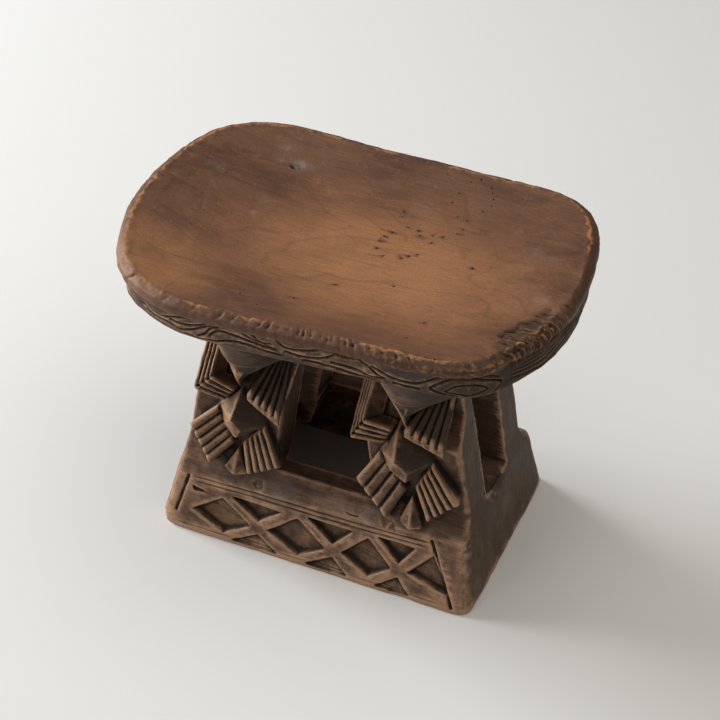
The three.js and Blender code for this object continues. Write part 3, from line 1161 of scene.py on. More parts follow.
    def painted_shade_share(self, skin: Skin) -> Points:
        """Gives the painted shade on the leg's carving: its fan, which lies under the seat, its
        flare, more below its edge, and what faces its right, which on the front legs faces away
        from the window.

        Args:
            skin: The stool's surface.

        Returns:
            Values from 0 to 1.
        """
        carved, facing = self.carved_front(skin)
        # Painted shade on the carving that faces the leg's right.
        share = 0.85 * carved * smooth_step(0.05, 0.45, facing)
        # Painted shade on the flare, deeper below its edge.
        flare = smooth_step(*self.flare_foot, skin.points[:, 2])
        flare *= smooth_step(-0.3, 0.25, facing)
        under = smooth_step(1.0, -1.0, self.collar(skin.points))
        share = np.maximum(share, carved * flare * (0.4 + 0.45 * under))
        # Painted shade on the fan, which lies under the seat.
        near, run, across, _ = self.on_patch(skin, self.patches()["fan"][0])
        inside = (run > 0.1) & (run < 1.05) & (across > -0.02) & (across < 1.02)
        share[near] = np.maximum(share[near], np.where(inside, 0.95, 0.0))
        return share


@dataclass(frozen=True)
class ToolMarks:
    """Uneven surface left by adze and knife, coarser on the body than in the dish.

    Attributes:
        waves: Strength of the broad waves.
        ripples: Strength of the ripples.
        scoops: Strength of the scoops.
        chatter: Depth of the knife's teeth marks in the side slots.
        broad: Noise of the waves.
        middle: Noise of the ripples.
        scoop: The scoops.
        wobble: Noise that bends the teeth marks.
        slot_half: Distances from the middle between which the slots end.
        slot_foot: Heights between which they begin.
    """

    waves: float = 0.75
    ripples: float = 0.30
    scoops: float = 0.55
    chatter: float = 0.30
    broad: LatticeNoise = LatticeNoise(7, (38.0, 30.0, 34.0))
    middle: LatticeNoise = LatticeNoise(8, (13.0, 9.0, 9.0))
    scoop: ToolFacets = ToolFacets(9, (19.0, 13.0, 13.0))
    wobble: LatticeNoise = LatticeNoise(10, (30.0, 30.0, 14.0))
    slot_half: Pair = (36.0, 30.0)
    slot_foot: Pair = (85.0, 95.0)

    def depth_at(self, points: Points, normals: Points, dish: Points) -> Points:
        """Gives the unevenness.

        Args:
            points: Places in space.
            normals: Outward directions there.
            dish: 1 in the worn dish and 0 elsewhere.

        Returns:
            Depths, up to about one either way.
        """
        depth = self.waves * (0.7 - 0.1 * dish) * self.broad.at(points)
        depth += self.ripples * (1 - 0.6 * dish) * self.middle.at(points)
        depth -= self.scoops * (1 - 0.75 * dish) * (self.scoop.at(points) - 0.3)
        upright = 1 - np.abs(normals[:, 2])
        slot = smooth_step(*self.slot_half, np.abs(points[:, 1]))
        slot *= smooth_step(0.5, 0.8, np.abs(normals[:, 1])) * smooth_step(
            *self.slot_foot, points[:, 2])
        teeth = np.abs(np.sin(points[:, 2] / 1.6 + 3.5 * self.wobble.at(points)))
        depth += self.chatter * slot * upright * (1 - teeth)
        return depth


@dataclass(frozen=True)
class BruisesAndSheen:
    """Places where rubbing or knocks turn the wood a blue grey, and places painted with a grey
    sheen:
    the shiny dents in the dish, the lip's front left and the upper flares.

    Attributes:
        spots: Rows of a place, a reach and a strength.
        ragged: Noise that makes their borders ragged.
    """

    # Spots in the dish, on the lip's front left and on the flares near 270 high are a painted
    # grey sheen; those on the base are knocks.
    spots: tuple[tuple[Triple, float, float], ...] = (
        ((-100, 96, 329), 7, 1.0), ((-123, 115, 333), 7, 0.4),
        ((-120, 101, 330), 5, 0.35), ((-170, 62, 333), 10, 0.2),
        ((-110, 14, 325), 5, 0.4), ((-108, 38, 325), 8, 0.2), ((187, -15, 335), 9, 0.2),
        ((176, 48, 334), 7, 0.2), ((158, 57, 331), 9, 0.2), ((35, 86, 327), 11, 0.16),
        ((88, 100, 330), 12, 0.16), ((-41, -83, 75), 15, 0.35), ((20, -84, 76), 12, 0.3),
        ((55, -84, 76), 12, 0.35), ((161, 12, 47), 14, 0.3), ((166, -70, 17), 14, 0.35),
        ((157, -80, 71), 9, 0.3), ((-86, -88, 270), 26, 0.3), ((86, -88, 272), 26, 0.3),
        ((-185, -95, 326), 14, 0.3))
    ragged: tuple[Layer, ...] = ((1.0, 61, (5.0, 3.0, 5.0)), (0.8, 62, (2.2, 1.4, 2.2)))

    def share_at(self, points: Points) -> Points:
        """Gives how far points are bruised.

        Args:
            points: Places in space.

        Returns:
            Values from 0 to 1.
        """
        ragged = layered(points, *self.ragged)
        share = np.zeros(len(points))
        for place, reach, strength in self.spots:
            gap = np.linalg.norm(points - np.array(place), axis=1) / reach
            share = np.maximum(share, strength * smooth_step(1.2, 0.3, gap + 0.6 * ragged))
        return share


@dataclass(frozen=True)
class SittingAndSheen:
    """The paler, warmer middle of the dish, where it is worn most, and a painted sheen over the
    front left of the lip.

    Attributes:
        middle: Middle of the pale part, seen from above.
        reach: How far it reaches along X and Y.
        second: Middle of a smaller pale part, over the front left of the lip, which is a painted
            sheen.
        second_reach: How far that one reaches.
        cloud: Noise that makes both uneven.
    """

    middle: Pair = (35.0, -12.0)
    reach: Pair = (150.0, 95.0)
    second: Pair = (-165.0, -100.0)
    second_reach: Pair = (75.0, 55.0)
    cloud: tuple[Layer, ...] = ((1.0, 71, (60.0, 38.0, 60.0)), (0.5, 72, (26.0, 15.0, 30.0)))

    def share_at(self, points: Points) -> Points:
        """Gives how pale points are made, by wear in the dish and by a painted sheen on the lip.

        Args:
            points: Places in space.

        Returns:
            Values from 0 to 1.
        """
        gaps = [np.hypot(*((points[:, :2] - np.array(middle)) / np.array(reach)).T)
                for middle, reach in ((self.middle, self.reach),
                                      (self.second, self.second_reach))]
        cloud = layered(points, *self.cloud)
        # Painted sheen over the lip's front left.
        beside = 0.8 * smooth_step(1.4, 0.4, gaps[1])
        return np.clip(smooth_step(1.35, 0.2, gaps[0]) + 0.22 * cloud + beside, 0.0, 1.0)


@dataclass
class Stool:
    """The whole stool: its skin is grown from the solid, carved, worn and thinned out.

    Attributes:
        voxel: Size of the even faces that the carving is cut into, in metres.
        soften: Rounds of smoothing that take the steps out of the even faces.
        faces: Triangles that the finished piece may have.
        crispness: How much of the ridges' lost height is given back.
        within: How far the skin is held inside the solid's box.
        smooth_angle: Angle between faces above which an edge stays sharp, in degrees.
        fine_heights: Heights between which the band's faces are halved.
        fine_inset: How far in from the rim that reaches.
        body_head: Heights between which the legs leave off.
        base_head: Heights between which the base leaves off.
        dish_level: Heights between which the dish's marks set in.
        band_foot: Heights between which the band's carving sets in.
        band_head: Heights between which it leaves off.
        band_inset: Insets between which it leaves off under the seat.
        flare_foot: Heights between which the flares' rounding sets in.
        flare_head: Heights between which it leaves off.
        flare_front: Distances from the base's middle between which it sets in.
        flare_rounds: Rounds of smoothing that round them.
        collar: Depth of the step round a flare.
        worn_edges: How far proud edges are worn down, and the height that escapes it.
        edge_noise: Noise that makes this uneven.
        foot_clear: Heights between which the underside's marks set in.
        scuffs: Noise of the scuffed foot.
    """

    voxel: float = 0.0011
    soften: int = 2
    faces: int = 192000
    crispness: float = 0.55
    within: float = 0.03
    smooth_angle: float = 50.0
    fine_heights: Pair = (295.0, 326.0)
    fine_inset: float = 20.0
    body_head: Pair = (292.0, 284.0)
    base_head: Pair = (105.0, 100.0)
    dish_level: Pair = (318.0, 320.0)
    band_foot: Pair = (293.0, 297.0)
    band_head: Pair = (330.0, 324.0)
    band_inset: Pair = (24.0, 20.0)
    flare_foot: Pair = (204.0, 214.0)
    flare_head: Pair = (292.0, 287.0)
    flare_front: Pair = (73.0, 79.0)
    flare_rounds: int = 170
    collar: float = 2.4
    worn_edges: Pair = (0.4, 0.15)
    edge_noise: LatticeNoise = LatticeNoise(21, (9.0, 9.0, 9.0))
    foot_clear: Pair = (0.0, 3.0)
    scuffs: LatticeNoise = LatticeNoise(63, (14.0, 14.0, 8.0))
    ruler: RimRuler = field(default_factory=RimRuler)
    band: BandCarving = BandCarving()
    rim: RimWear = RimWear()
    seat: SeatMarks = SeatMarks()
    holes: InsectHoles = InsectHoles()
    base: BaseMarks = BaseMarks()
    tools: ToolMarks = ToolMarks()
    bruises_and_sheen: BruisesAndSheen = BruisesAndSheen()
    sitting_and_sheen: SittingAndSheen = SittingAndSheen()
    legs: tuple[LegRidges, ...] = (
        LegRidges(-86, 0.0, 0.0, 1.0, (4, 5, 5, 5)),
        LegRidges(86, 0.28, 9.0, 1.06, (4, 5, 4, 5)),
        LegRidges(-86, 0.0, 0.0, 1.0, (3, 3, 3, 3), back=True),
        LegRidges(86, 0.28, 9.0, 1.06, (3, 3, 3, 3), back=True))

    def build(self) -> bpy.types.Object:
        """Makes the stool's skin.

        Returns:
            The finished piece, in place.
        """
        piece = self.copy_solid()
        self.even_faces(piece)
        self.divide_band(piece)
        log.info("skin of %d faces", len(piece.data.polygons))
        skin = Skin(piece.data)
        self.carve(skin)
        log.info("carving done")
        self.keep_wear_and_light(skin)
        log.info("wear stored")
        self.thin(piece)
        self.holes.bore(piece)
        return piece

    def copy_solid(self) -> bpy.types.Object:
        """Copies the solid with its triangles joined, and measures its rim.

        Returns:
            The copy.
        """
        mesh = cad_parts[NODE].data.copy()
        mesh.name = "carved_wood"
        mesh.materials.clear()
        piece = bpy.data.objects.new("carved_wood", mesh)
        bpy.context.scene.collection.objects.link(piece)
        choose(piece)
        bpy.ops.object.mode_set(mode="EDIT")
        bpy.ops.mesh.select_all(action="SELECT")
        bpy.ops.mesh.remove_doubles(threshold=2e-6)
        bpy.ops.object.mode_set(mode="OBJECT")
        self.ruler.measure(read_rows(mesh.vertices, "co") / MM)
        return piece

    def even_faces(self, piece: bpy.types.Object) -> None:
        """Turns the piece into even small faces and takes the steps out of them.

        Args:
            piece: The copy of the solid.
        """
        even = piece.modifiers.new("even", "REMESH")
        even.mode = "VOXEL"
        even.voxel_size = self.voxel
        bpy.ops.object.modifier_apply(modifier=even.name)
        smooth = piece.modifiers.new("soften", "SMOOTH")
        smooth.factor = 0.5
        smooth.iterations = self.soften
        bpy.ops.object.modifier_apply(modifier=smooth.name)

    def divide_band(self, piece: bpy.types.Object) -> None:
        """Halves the faces of the band, whose lines are the finest carving.

        Args:
            piece: The skin with even faces.
        """
        mesh = piece.data
        centres = read_rows(mesh.polygons, "center") / MM
        low, high = self.fine_heights
        on_band = (centres[:, 2] > low) & (centres[:, 2] < high)
        on_band &= self.ruler.inset(centres) < self.fine_inset
        choose(piece)
        bpy.ops.object.mode_set(mode="EDIT")
        bpy.ops.mesh.select_mode(type="FACE")
        bpy.ops.mesh.select_all(action="DESELECT")
        bpy.ops.object.mode_set(mode="OBJECT")
        mesh.polygons.foreach_set("select", on_band)
        bpy.ops.object.mode_set(mode="EDIT")
        bpy.ops.mesh.subdivide(number_cuts=1)
        bpy.ops.object.mode_set(mode="OBJECT")

    def carve(self, skin: Skin) -> None:
        """Cuts all carving and wear into the skin.

        Args:
            skin: The stool's surface.
        """
        body = smooth_step(*self.body_head, skin.points[:, 2])
        skin.push_in(self.crispness * body * np.clip(skin.hollowness(5), -1.0, 1.0))
        for leg in self.legs:
            leg.cut(skin)
        self.round_flares(skin)
        skin.write()
        points, normals = skin.points, skin.normals
        way = self.ruler.along(points)
        inset = self.ruler.inset(points)
        height = points[:, 2]
        dish = smooth_step(0.4, 0.8, normals[:, 2]) * smooth_step(*self.dish_level, height)
        depth = self.tools.depth_at(points, normals, dish)
        band = smooth_step(*self.band_foot, height) * smooth_step(*self.band_head, height)
        upright = smooth_step(0.85, 0.6, np.abs(normals[:, 2]))
        band *= upright * smooth_step(*self.band_inset, inset)
        depth += band * self.band.depth_at(way, height, self.ruler.total())
        depth += self.rim.depth_at(points, way, inset)
        depth += dish * self.seat.depth_at(points)
        depth += smooth_step(*self.base_head, height) * self.base.depth_at(points, normals)
        share, spared = self.worn_edges
        worn = np.clip(-skin.hollowness(12) - spared, 0.0, 1.2)
        depth += share * worn * (0.6 + 0.4 * self.edge_noise.at(points))
        under = normals[:, 2] < -0.9
        depth = np.where(under, depth * smooth_step(*self.foot_clear, height), depth)
        skin.push_in(depth)
        self.keep_inside(skin)

    def round_flares(self, skin: Skin) -> None:
        """Rounds the flares under the seat, and steps them in below their edge.

        Args:
            skin: The stool's surface.
        """
        height, front = skin.points[:, 2], np.abs(skin.points[:, 1] - BASE_MIDDLE[1])
        share = smooth_step(*self.flare_foot, height) * smooth_step(*self.flare_head, height)
        share *= smooth_step(*self.flare_front, front)
        rounded = skin.averaged_within(share > 0, self.flare_rounds)
        skin.points += share[:, None] * (rounded - skin.points)
        for leg in self.legs:
            own = share * smooth_step(54.0, 46.0, np.abs(leg.beside(skin.points)))
            own *= (skin.points[:, 1] > 0) == leg.back
            above = leg.collar(skin.points)
            below = smooth_step(0.8, -0.8, above) * smooth_step(-30.0, -10.0, above)
            skin.push_in(own * self.collar * below)

    def keep_inside(self, skin: Skin) -> None:
        """Holds the skin inside the solid's box."""
        low, high = (np.array(corner) / MM for corner in SOLID_BOX)
        np.clip(skin.points, low + self.within, high - self.within, out=skin.points)
        skin.write()

    def keep_wear_and_light(self, skin: Skin) -> None:
        """Stores what the finish has to know of each point of the skin, painted shade and
        highlights among it.

        Args:
            skin: The stool's surface.
        """
        points, height, normals = skin.points, skin.points[:, 2], skin.normals
        way = self.ruler.along(points)
        inset = self.ruler.inset(points)
        torn = self.rim.torn_share(points, inset)
        fine, broad = skin.hollowness(5), skin.hollowness(45)
        # Darkening of the hollows: grime in the carving and painted shade in the recesses.
        hollow = np.clip(fine / 0.4, 0, 1) * 0.6 + np.clip(broad / 2.0, 0, 1) * 0.65
        hollow = np.maximum(hollow, torn * (0.5 + 0.3 * self.rim.fibre.at(points)))
        skin.store(WearAndLight.HOLLOW, np.clip(hollow, 0, 1))
        # Painted shade on the leg carving and the band's right corner.
        skin.store(WearAndLight.SMOKE, self.painted_shade(skin, way))
        upward = smooth_step(0.3, 0.7, normals[:, 2])
        skin.store(WearAndLight.DISH, upward * smooth_step(311.0, 316.0, height))
        # Painted shade on the lip's outer face: least at the left, near the window, most at the
        # right.
        shaded = 0.2 + 0.3 * smooth_step(-150.0, -30.0, way)
        shaded += 0.5 * smooth_step(50.0, 120.0, way) * smooth_step(420.0, 330.0, way)
        dull_and_shaded = self.rim.outer_face(points, inset) * shaded
        skin.store(WearAndLight.LIP_FACE, np.maximum(dull_and_shaded, 0.8 * torn))
        # Proud edges and scuffs, with a painted highlight on the leg carving that faces the
        # leg's left.
        skin.store(WearAndLight.PROUD_AND_LIT, self.proud(skin, fine, broad))
        skin.store(WearAndLight.RIM_EDGE, self.rim.ragged_edge(points, inset))
        skin.store(WearAndLight.END_FACE, smooth_step(0.55, 0.85, np.abs(normals[:, 0])))
        # Knocks, and a painted grey sheen on the dents, the lip and the flares.
        skin.store(WearAndLight.BRUISE_AND_SHEEN, self.bruises_and_sheen.share_at(points))
        # Worn dish, and a painted sheen on the lip's front left.
        skin.store(WearAndLight.RUBBED_PALE_AND_SHEEN, self.sitting_and_sheen.share_at(points))

    def painted_shade(self, skin: Skin, way: Points) -> Points:
        """Gives the painted shade on the legs' carving and on the band's right corner.

        Args:
            skin: The stool's surface.
            way: The way round the rim to each point.

        Returns:
            Values from 0 to 1.
        """
        height = skin.points[:, 2]
        painted_shade = np.max([leg.painted_shade_share(skin) for leg in self.legs], axis=0)
        # Painted shade on the band's right corner, which faces away from the window.
        corner = smooth_step(100.0, 170.0, way) * smooth_step(430.0, 330.0, way)
        on_band = smooth_step(*self.band_foot, height) * smooth_step(329.0, 325.0, height)
        return np.maximum(painted_shade, 0.7 * corner * on_band)

    def proud(self, skin: Skin, fine: Points, broad: Points) -> Points:
        """Gives how far the wood stands proud or is scuffed, and paler on the base's front
        panel, with a painted highlight added on the leg carving that faces the leg's left.

        Args:
            skin: The stool's surface.
            fine: How far each point lies below its nearest surroundings.
            broad: How far it lies below wider ones.

        Returns:
            Values from 0 to 1.
        """
        height = skin.points[:, 2]
        proud = np.clip(-fine / 0.35, 0, 1) * 0.75 + np.clip(-broad / 2.0, 0, 1) * 0.5
        scuffed = 0.45 + 0.9 * self.scuffs.at(skin.points)
        proud += smooth_step(24.0, 3.0, height) * np.clip(scuffed, 0.0, 1.0) * 0.6
        panel = smooth_step(86.0, 76.0, height) * smooth_step(0.3, 0.7, -skin.normals[:, 1])
        left_end = smooth_step(-145.0, -160.0, skin.points[:, 0])
        left_end = left_end * np.clip(scuffed + 0.2, 0.0, 1.0)
        proud += panel * (0.22 + 0.45 * left_end)
        # Painted highlight on the leg carving that faces the leg's left.
        proud += 0.45 * np.max([leg.rubbed_and_lit(skin) for leg in self.legs], axis=0)
        return np.clip(proud, 0, 1)

    def thin(self, piece: bpy.types.Object) -> None:
        """Thins the skin out where it is flat, to the triangles that it may have.

        Args:
            piece: The carved skin.
        """
        count = sum(len(polygon.vertices) - 2 for polygon in piece.data.polygons)
        thin = piece.modifiers.new("thin", "DECIMATE")
        thin.ratio = min(1.0, self.faces / count)
        bpy.ops.object.modifier_apply(modifier=thin.name)
        self.keep_inside(Skin(piece.data))
        log.info("skin thinned from %d to %d triangles", count, len(piece.data.polygons))

    def dress(self, piece: bpy.types.Object) -> None:
        """Gives the piece its finish and its place in the frame.

        Args:
            piece: The finished skin.
        """
        piece.data.materials.clear()
        piece.data.materials.append(WornWood().material())
        choose(piece)
        bpy.ops.object.shade_smooth_by_angle(angle=math.radians(self.smooth_angle))
        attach(piece, "root")
        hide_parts(NODE)


# Finishes


class Sum:
    """One output of a finish's nodes, with the arithmetic that the finishes use."""

    def __init__(self, nodes: "FinishNodes", socket: bpy.types.NodeSocket) -> None:
        """Keeps the output and the nodes that it belongs to."""
        self.nodes = nodes
        self.socket = socket

    def _math(self, operation: str, *values: Any) -> "Sum":
        """Adds one Math node, its inputs in order."""
        inputs = dict(enumerate(values))
        return self.nodes.add("ShaderNodeMath", {"operation": operation}, inputs)

    def __add__(self, other: Any) -> "Sum":
        """Adds."""
        return self._math("ADD", self, other)

    __radd__ = __add__

    def __sub__(self, other: Any) -> "Sum":
        """Subtracts."""
        return self._math("SUBTRACT", self, other)

    def __rsub__(self, other: Any) -> "Sum":
        """Subtracts this value from a number."""
        return self._math("SUBTRACT", other, self)

    def __mul__(self, other: Any) -> "Sum":
        """Multiplies."""
        return self._math("MULTIPLY", self, other)

    __rmul__ = __mul__

    def fraction(self) -> "Sum":
        """Takes what is left above the whole number."""
        return self._math("FRACT", self)

    def between(self, low: float, high: float) -> "Sum":
        """Rises smoothly from 0 at low to 1 at high."""
        return self.nodes.add("ShaderNodeMapRange", {"interpolation_type": "SMOOTHSTEP"}, {
            "Value": self, "From Min": low, "From Max": high, "To Min": 0.0, "To Max": 1.0})


@dataclass(frozen=True)
class Pattern:
    """A cloudy pattern that lies on the object.

    Attributes:
        stretch: Scale along X, Y and Z.
        scale: Scale in all directions.
        detail: How many finer layers it has.
        rough: How strong these are.
        distortion: How far it is bent.
    """

    stretch: Triple
    scale: float = 1.0
    detail: float = 3.0
    rough: float = 0.55
    distortion: float = 0.0


class FinishNodes:
    """The nodes of one finish."""

    def __init__(self, name: str, specular: float) -> None:
        """Starts a material with its shader.

        Args:
            name: The material's name.
            specular: How strongly the surface shines.
        """
        self.material = bpy.data.materials.new(name)
        self.material.use_nodes = True
        self.tree = self.material.node_tree
        self.shader = self.tree.nodes["Principled BSDF"]
        self.feed("Specular IOR Level", specular)

    def add(self, kind: str, settings: dict[str, Any], inputs: dict[Any, Any],
            output: int | str = 0) -> Sum:
        """Adds one node.

        Args:
            kind: The node's type.
            settings: Its settings, which are set first.
            inputs: Values or outputs of other nodes, by socket.
            output: Which of its outputs is wanted.

        Returns:
            The wanted output.
        """
        node = self.tree.nodes.new(kind)
        for name, value in settings.items():
            setattr(node, name, value)
        for name, value in inputs.items():
            self._set(node.inputs[name], value)
        return Sum(self, node.outputs[output])

    def _set(self, socket: bpy.types.NodeSocket, value: Any) -> None:
        """Sets an input to a value, or links it to another node's output."""
        if isinstance(value, Sum):
            self.tree.links.new(value.socket, socket)
        else:
            socket.default_value = value

    def feed(self, name: str, value: Any) -> None:
        """Sets or links one input of the shader."""
        self._set(self.shader.inputs[name], value)

    def place(self, stretch: Triple) -> Sum:
        """Gives the place on the object, scaled along each axis."""
        spot = self.add("ShaderNodeTexCoord", {}, {}, "Object")
        return self.add("ShaderNodeMapping", {}, {"Vector": spot, "Scale": stretch})

    def noise(self, pattern: Pattern) -> Sum:
        """Gives a cloudy pattern from 0 to 1."""
        return self.add("ShaderNodeTexNoise", {}, {
            "Vector": self.place(pattern.stretch), "Scale": pattern.scale,
            "Detail": pattern.detail, "Roughness": pattern.rough,
            "Distortion": pattern.distortion})

    def mix(self, share: Any, first: Any, second: Any, blend: str = "MIX") -> Sum:
        """Mixes two colours.

        Args:
            share: How much of the second, from 0 to 1.
            first: A colour or an output.
            second: A colour or an output.
            blend: How the second is laid over the first.

        Returns:
            The mixed colour.
        """
        first, second = (colour if isinstance(colour, Sum) else (*colour, 1.0)
                         for colour in (first, second))
        settings = {"data_type": "RGBA", "blend_type": blend}
        return self.add("ShaderNodeMix", settings, {0: share, 6: first, 7: second}, 2)

    def grey(self, value: Sum) -> Sum:
        """Turns a number into a grey colour."""
        return self.add("ShaderNodeCombineColor", {}, {0: value, 1: value, 2: value})


@dataclass(frozen=True)
class WornWood:
    """Old dark hardwood, worn warm and tan on the seat by rubbing and left duller in the
    carving, with painted shade and painted highlights laid into its colour.

    Attributes:
        seat: Colour of the seat, worn by rubbing.
        seat_pale: Its palest part, where it is sat on; also the painted sheen on the lip's front
            left.
        seat_deep: Its dark figure.
        lip: Dull wood on the outer face of the lip, laid on more strongly towards the right as
            painted shade.
        body: Colour of the legs and base.
        body_pale: Wood worn pale on proud edges of the body, also a painted highlight on the leg
            carving that faces the leg's left.
        body_deep: Dark patches of the body.
        end: Colour of the end faces.
        end_deep: Dark streaks of the end faces.
        painted_shade: Painted shade on the legs' carving and on the band's right corner.
        hollow: Grime and painted shade in the carving's hollows; also the colour of the pores.
        bruise_and_sheen: Blue grey of knocks and of patches worn by rubbing, and a painted grey
            sheen on the dents, the lip and the flares.
        fibre: Bare fibre on the ragged edge of the rim; also the painted glints on the lip's
            crust.
        roughness: Roughness of the seat.
        specular: How strongly the wood shines.
        relief: Strength of the finest relief, and its depth in metres.
        seat_heights: Heights between which the seat's colour sets in, in metres.
        figure_folds: How many lines the wood's figure has.
    """

    seat: Triple = (0.142, 0.064, 0.035)
    seat_pale: Triple = (0.335, 0.152, 0.066)
    seat_deep: Triple = (0.078, 0.034, 0.020)
    lip: Triple = (0.070, 0.031, 0.015)
    body: Triple = (0.180, 0.097, 0.055)
    body_pale: Triple = (0.470, 0.275, 0.165)
    body_deep: Triple = (0.060, 0.033, 0.020)
    end: Triple = (0.095, 0.058, 0.028)
    end_deep: Triple = (0.056, 0.035, 0.019)
    painted_shade: Triple = (0.030, 0.018, 0.012)
    hollow: Triple = (0.018, 0.010, 0.006)
    bruise_and_sheen: Triple = (0.230, 0.200, 0.180)
    fibre: Triple = (0.400, 0.175, 0.062)
    roughness: float = 0.46
    specular: float = 0.30
    relief: Pair = (0.7, 0.0009)
    seat_heights: Pair = (0.323, 0.338)
    figure_folds: float = 9.0

    def material(self) -> bpy.types.Material:
        """Builds the finish.

        Returns:
            The material.
        """
        nodes = FinishNodes("worn_wood", self.specular)
        # The wear, and the painted shade and highlights, stored on the skin.
        wear = {kind: nodes.add("ShaderNodeAttribute", {"attribute_name": kind.value}, {}, "Fac")
                for kind in WearAndLight}
        clouds = nodes.noise(Pattern((9.0, 13.0, 13.0), 1.0, 4.0, 0.6, 0.9))
        streaks = nodes.noise(Pattern((2.5, 14.0, 14.0), 3.5, 4.0, 0.6, 1.4))
        crumbs = nodes.noise(Pattern((1.0, 1.0, 1.0), 90.0, 4.0, 0.7))
        speckle = nodes.noise(Pattern((1.0, 1.0, 1.0), 430.0, 2.0, 0.6))
        fibre = nodes.noise(Pattern((9.0, 260.0, 260.0), 3.0, 4.0, 0.6, 0.15))
        upright = nodes.noise(Pattern((90.0, 90.0, 8.0), 6.0, 4.0, 0.65, 0.2))
        seat = (self._seat_share(nodes) + wear[WearAndLight.DISH]).between(0.0, 1.0)
        pores = self._pores(nodes)
        hollow, edge = wear[WearAndLight.HOLLOW], wear[WearAndLight.RIM_EDGE]

        colour = nodes.mix(seat, self._body(nodes, wear, clouds, streaks, crumbs),
                           self._top(nodes, wear, clouds, streaks, crumbs))
        grain = nodes.add("ShaderNodeMix", {"data_type": "FLOAT"},
                          {0: wear[WearAndLight.END_FACE] * (1 - seat), 2: fibre, 3: upright})
        tone = grain.between(0.3, 0.62) * (0.42 - seat * 0.18) + (0.76 + seat * 0.11)
        tone = tone * (speckle * 0.5 + 0.75)
        colour = nodes.mix(1.0, colour, nodes.grey(tone), "MULTIPLY")
        colour = nodes.mix(pores * (0.3 - seat * 0.08), colour, self.hollow)
        # Blue grey of knocks, and a painted grey sheen on the dents, the lip and the flares.
        colour = nodes.mix(wear[WearAndLight.BRUISE_AND_SHEEN] * (speckle * 0.5 + 0.5), colour, self.bruise_and_sheen)
        # Grime and painted shade darken the hollows.
        grime_and_shade = (hollow * 1.25 - seat * 0.28).between(0.06, 0.95)
        colour = nodes.mix(grime_and_shade * 0.93, colour, self.hollow)
        colour = nodes.mix((edge * (crumbs * 0.8 + 0.55)).between(0.3, 0.85) * 0.75,
                           colour, self.fibre)
        nodes.feed("Base Color", colour)
        nodes.feed("Roughness", fibre * 0.16 + clouds * 0.16 + (self.roughness - 0.10)
                   + (1 - seat) * 0.08 + hollow * 0.2 + edge * 0.15 + wear[WearAndLight.SMOKE] * 0.1)
        height = (grain * (0.7 - seat * 0.3) + crumbs * (1.1 - seat * 0.85)
                  + speckle * 0.35 - pores * 0.7)
        strength, depth = self.relief
        nodes.feed("Normal", nodes.add("ShaderNodeBump", {}, {
            "Strength": strength, "Distance": depth, "Height": height}))
        nodes.material.diffuse_color = (*self.body, 1.0)
        return nodes.material

    def _top(self, nodes: FinishNodes, wear: dict[WearAndLight, Sum], clouds: Sum, streaks: Sum,
             crumbs: Sum) -> Sum:
        """Gives the colour of the seat and its lip.

        Args:
            nodes: The finish's nodes.
            wear: What the skin knows of its wear, and of the painted shade and highlights in its
                colour.
            clouds: Broad patches.
            streaks: Patches drawn out along the seat.
            crumbs: Small spots.

        Returns:
            The colour.
        """
        lip = wear[WearAndLight.LIP_FACE]
        top = nodes.mix((streaks * 0.5 + clouds * 0.5).between(0.30, 0.58),
                        self.seat_deep, self.seat)
        # Paler worn dish, and a painted sheen on the lip's front left.
        top = nodes.mix(wear[WearAndLight.RUBBED_PALE_AND_SHEEN] * (clouds * 0.5 + 0.62), top, self.seat_pale)
        top = nodes.mix(self._figure_lines(nodes) * 0.25, top, self.seat_deep)
        top = nodes.mix(crumbs.between(0.56, 0.72) * 0.25, top, self.seat_pale)
        # The lip's outer face, darker with painted shade towards the right.
        top = nodes.mix(lip * (crumbs * 0.4 + 0.75), top, self.lip)
        glints = (lip * wear[WearAndLight.PROUD_AND_LIT] * crumbs * 3.2).between(0.6, 1.6)
        return nodes.mix(glints * 0.5, top, self.fibre)

    def _body(self, nodes: FinishNodes, wear: dict[WearAndLight, Sum], clouds: Sum, streaks: Sum,
              crumbs: Sum) -> Sum:
        """Gives the colour of the band, the legs and the base.

        Args:
            nodes: The finish's nodes.
            wear: What the skin knows of its wear, and of the painted shade and highlights in its
                colour.
            clouds: Broad patches.
            streaks: Patches drawn out along the seat.
            crumbs: Small spots.

        Returns:
            The colour.
        """
        side = nodes.mix((streaks * 0.55 + crumbs * 0.45).between(0.36, 0.62),
                         self.body_deep, self.body)
        boards = nodes.noise(Pattern((34.0, 34.0, 3.0), 2.0, 3.0, 0.6, 0.3))
        ends = nodes.mix(boards.between(0.36, 0.62), self.end_deep, self.end)
        side = nodes.mix(wear[WearAndLight.END_FACE] * 0.8, side, ends)
        side = nodes.mix(clouds.between(0.56, 0.42) * 0.7, side, self.body_deep)
        # Paler proud edges and scuffs, and a painted highlight on the leg carving that faces the
        # leg's left.
        rubbed_and_lit = (wear[WearAndLight.PROUD_AND_LIT] * (crumbs * 1.2 + 0.5)).between(0.15, 0.95)
        side = nodes.mix(rubbed_and_lit * 0.8, side, self.body_pale)
        # Painted shade laid over the leg carving and the band's right corner.
        return nodes.mix(wear[WearAndLight.SMOKE] * (clouds * 0.3 + 0.78), side, self.painted_shade)

    def _seat_share(self, nodes: FinishNodes) -> Sum:
        """Gives 1 on the rubbed seat and its lip, and 0 on the body."""
        height = nodes.add("ShaderNodeSeparateXYZ", {}, {0: nodes.place((1.0, 1.0, 1.0))}, "Z")
        ragged = nodes.noise(Pattern((30.0, 30.0, 30.0), 1.0, 3.0, 0.6))
        return (height + ragged * 0.012).between(*self.seat_heights)

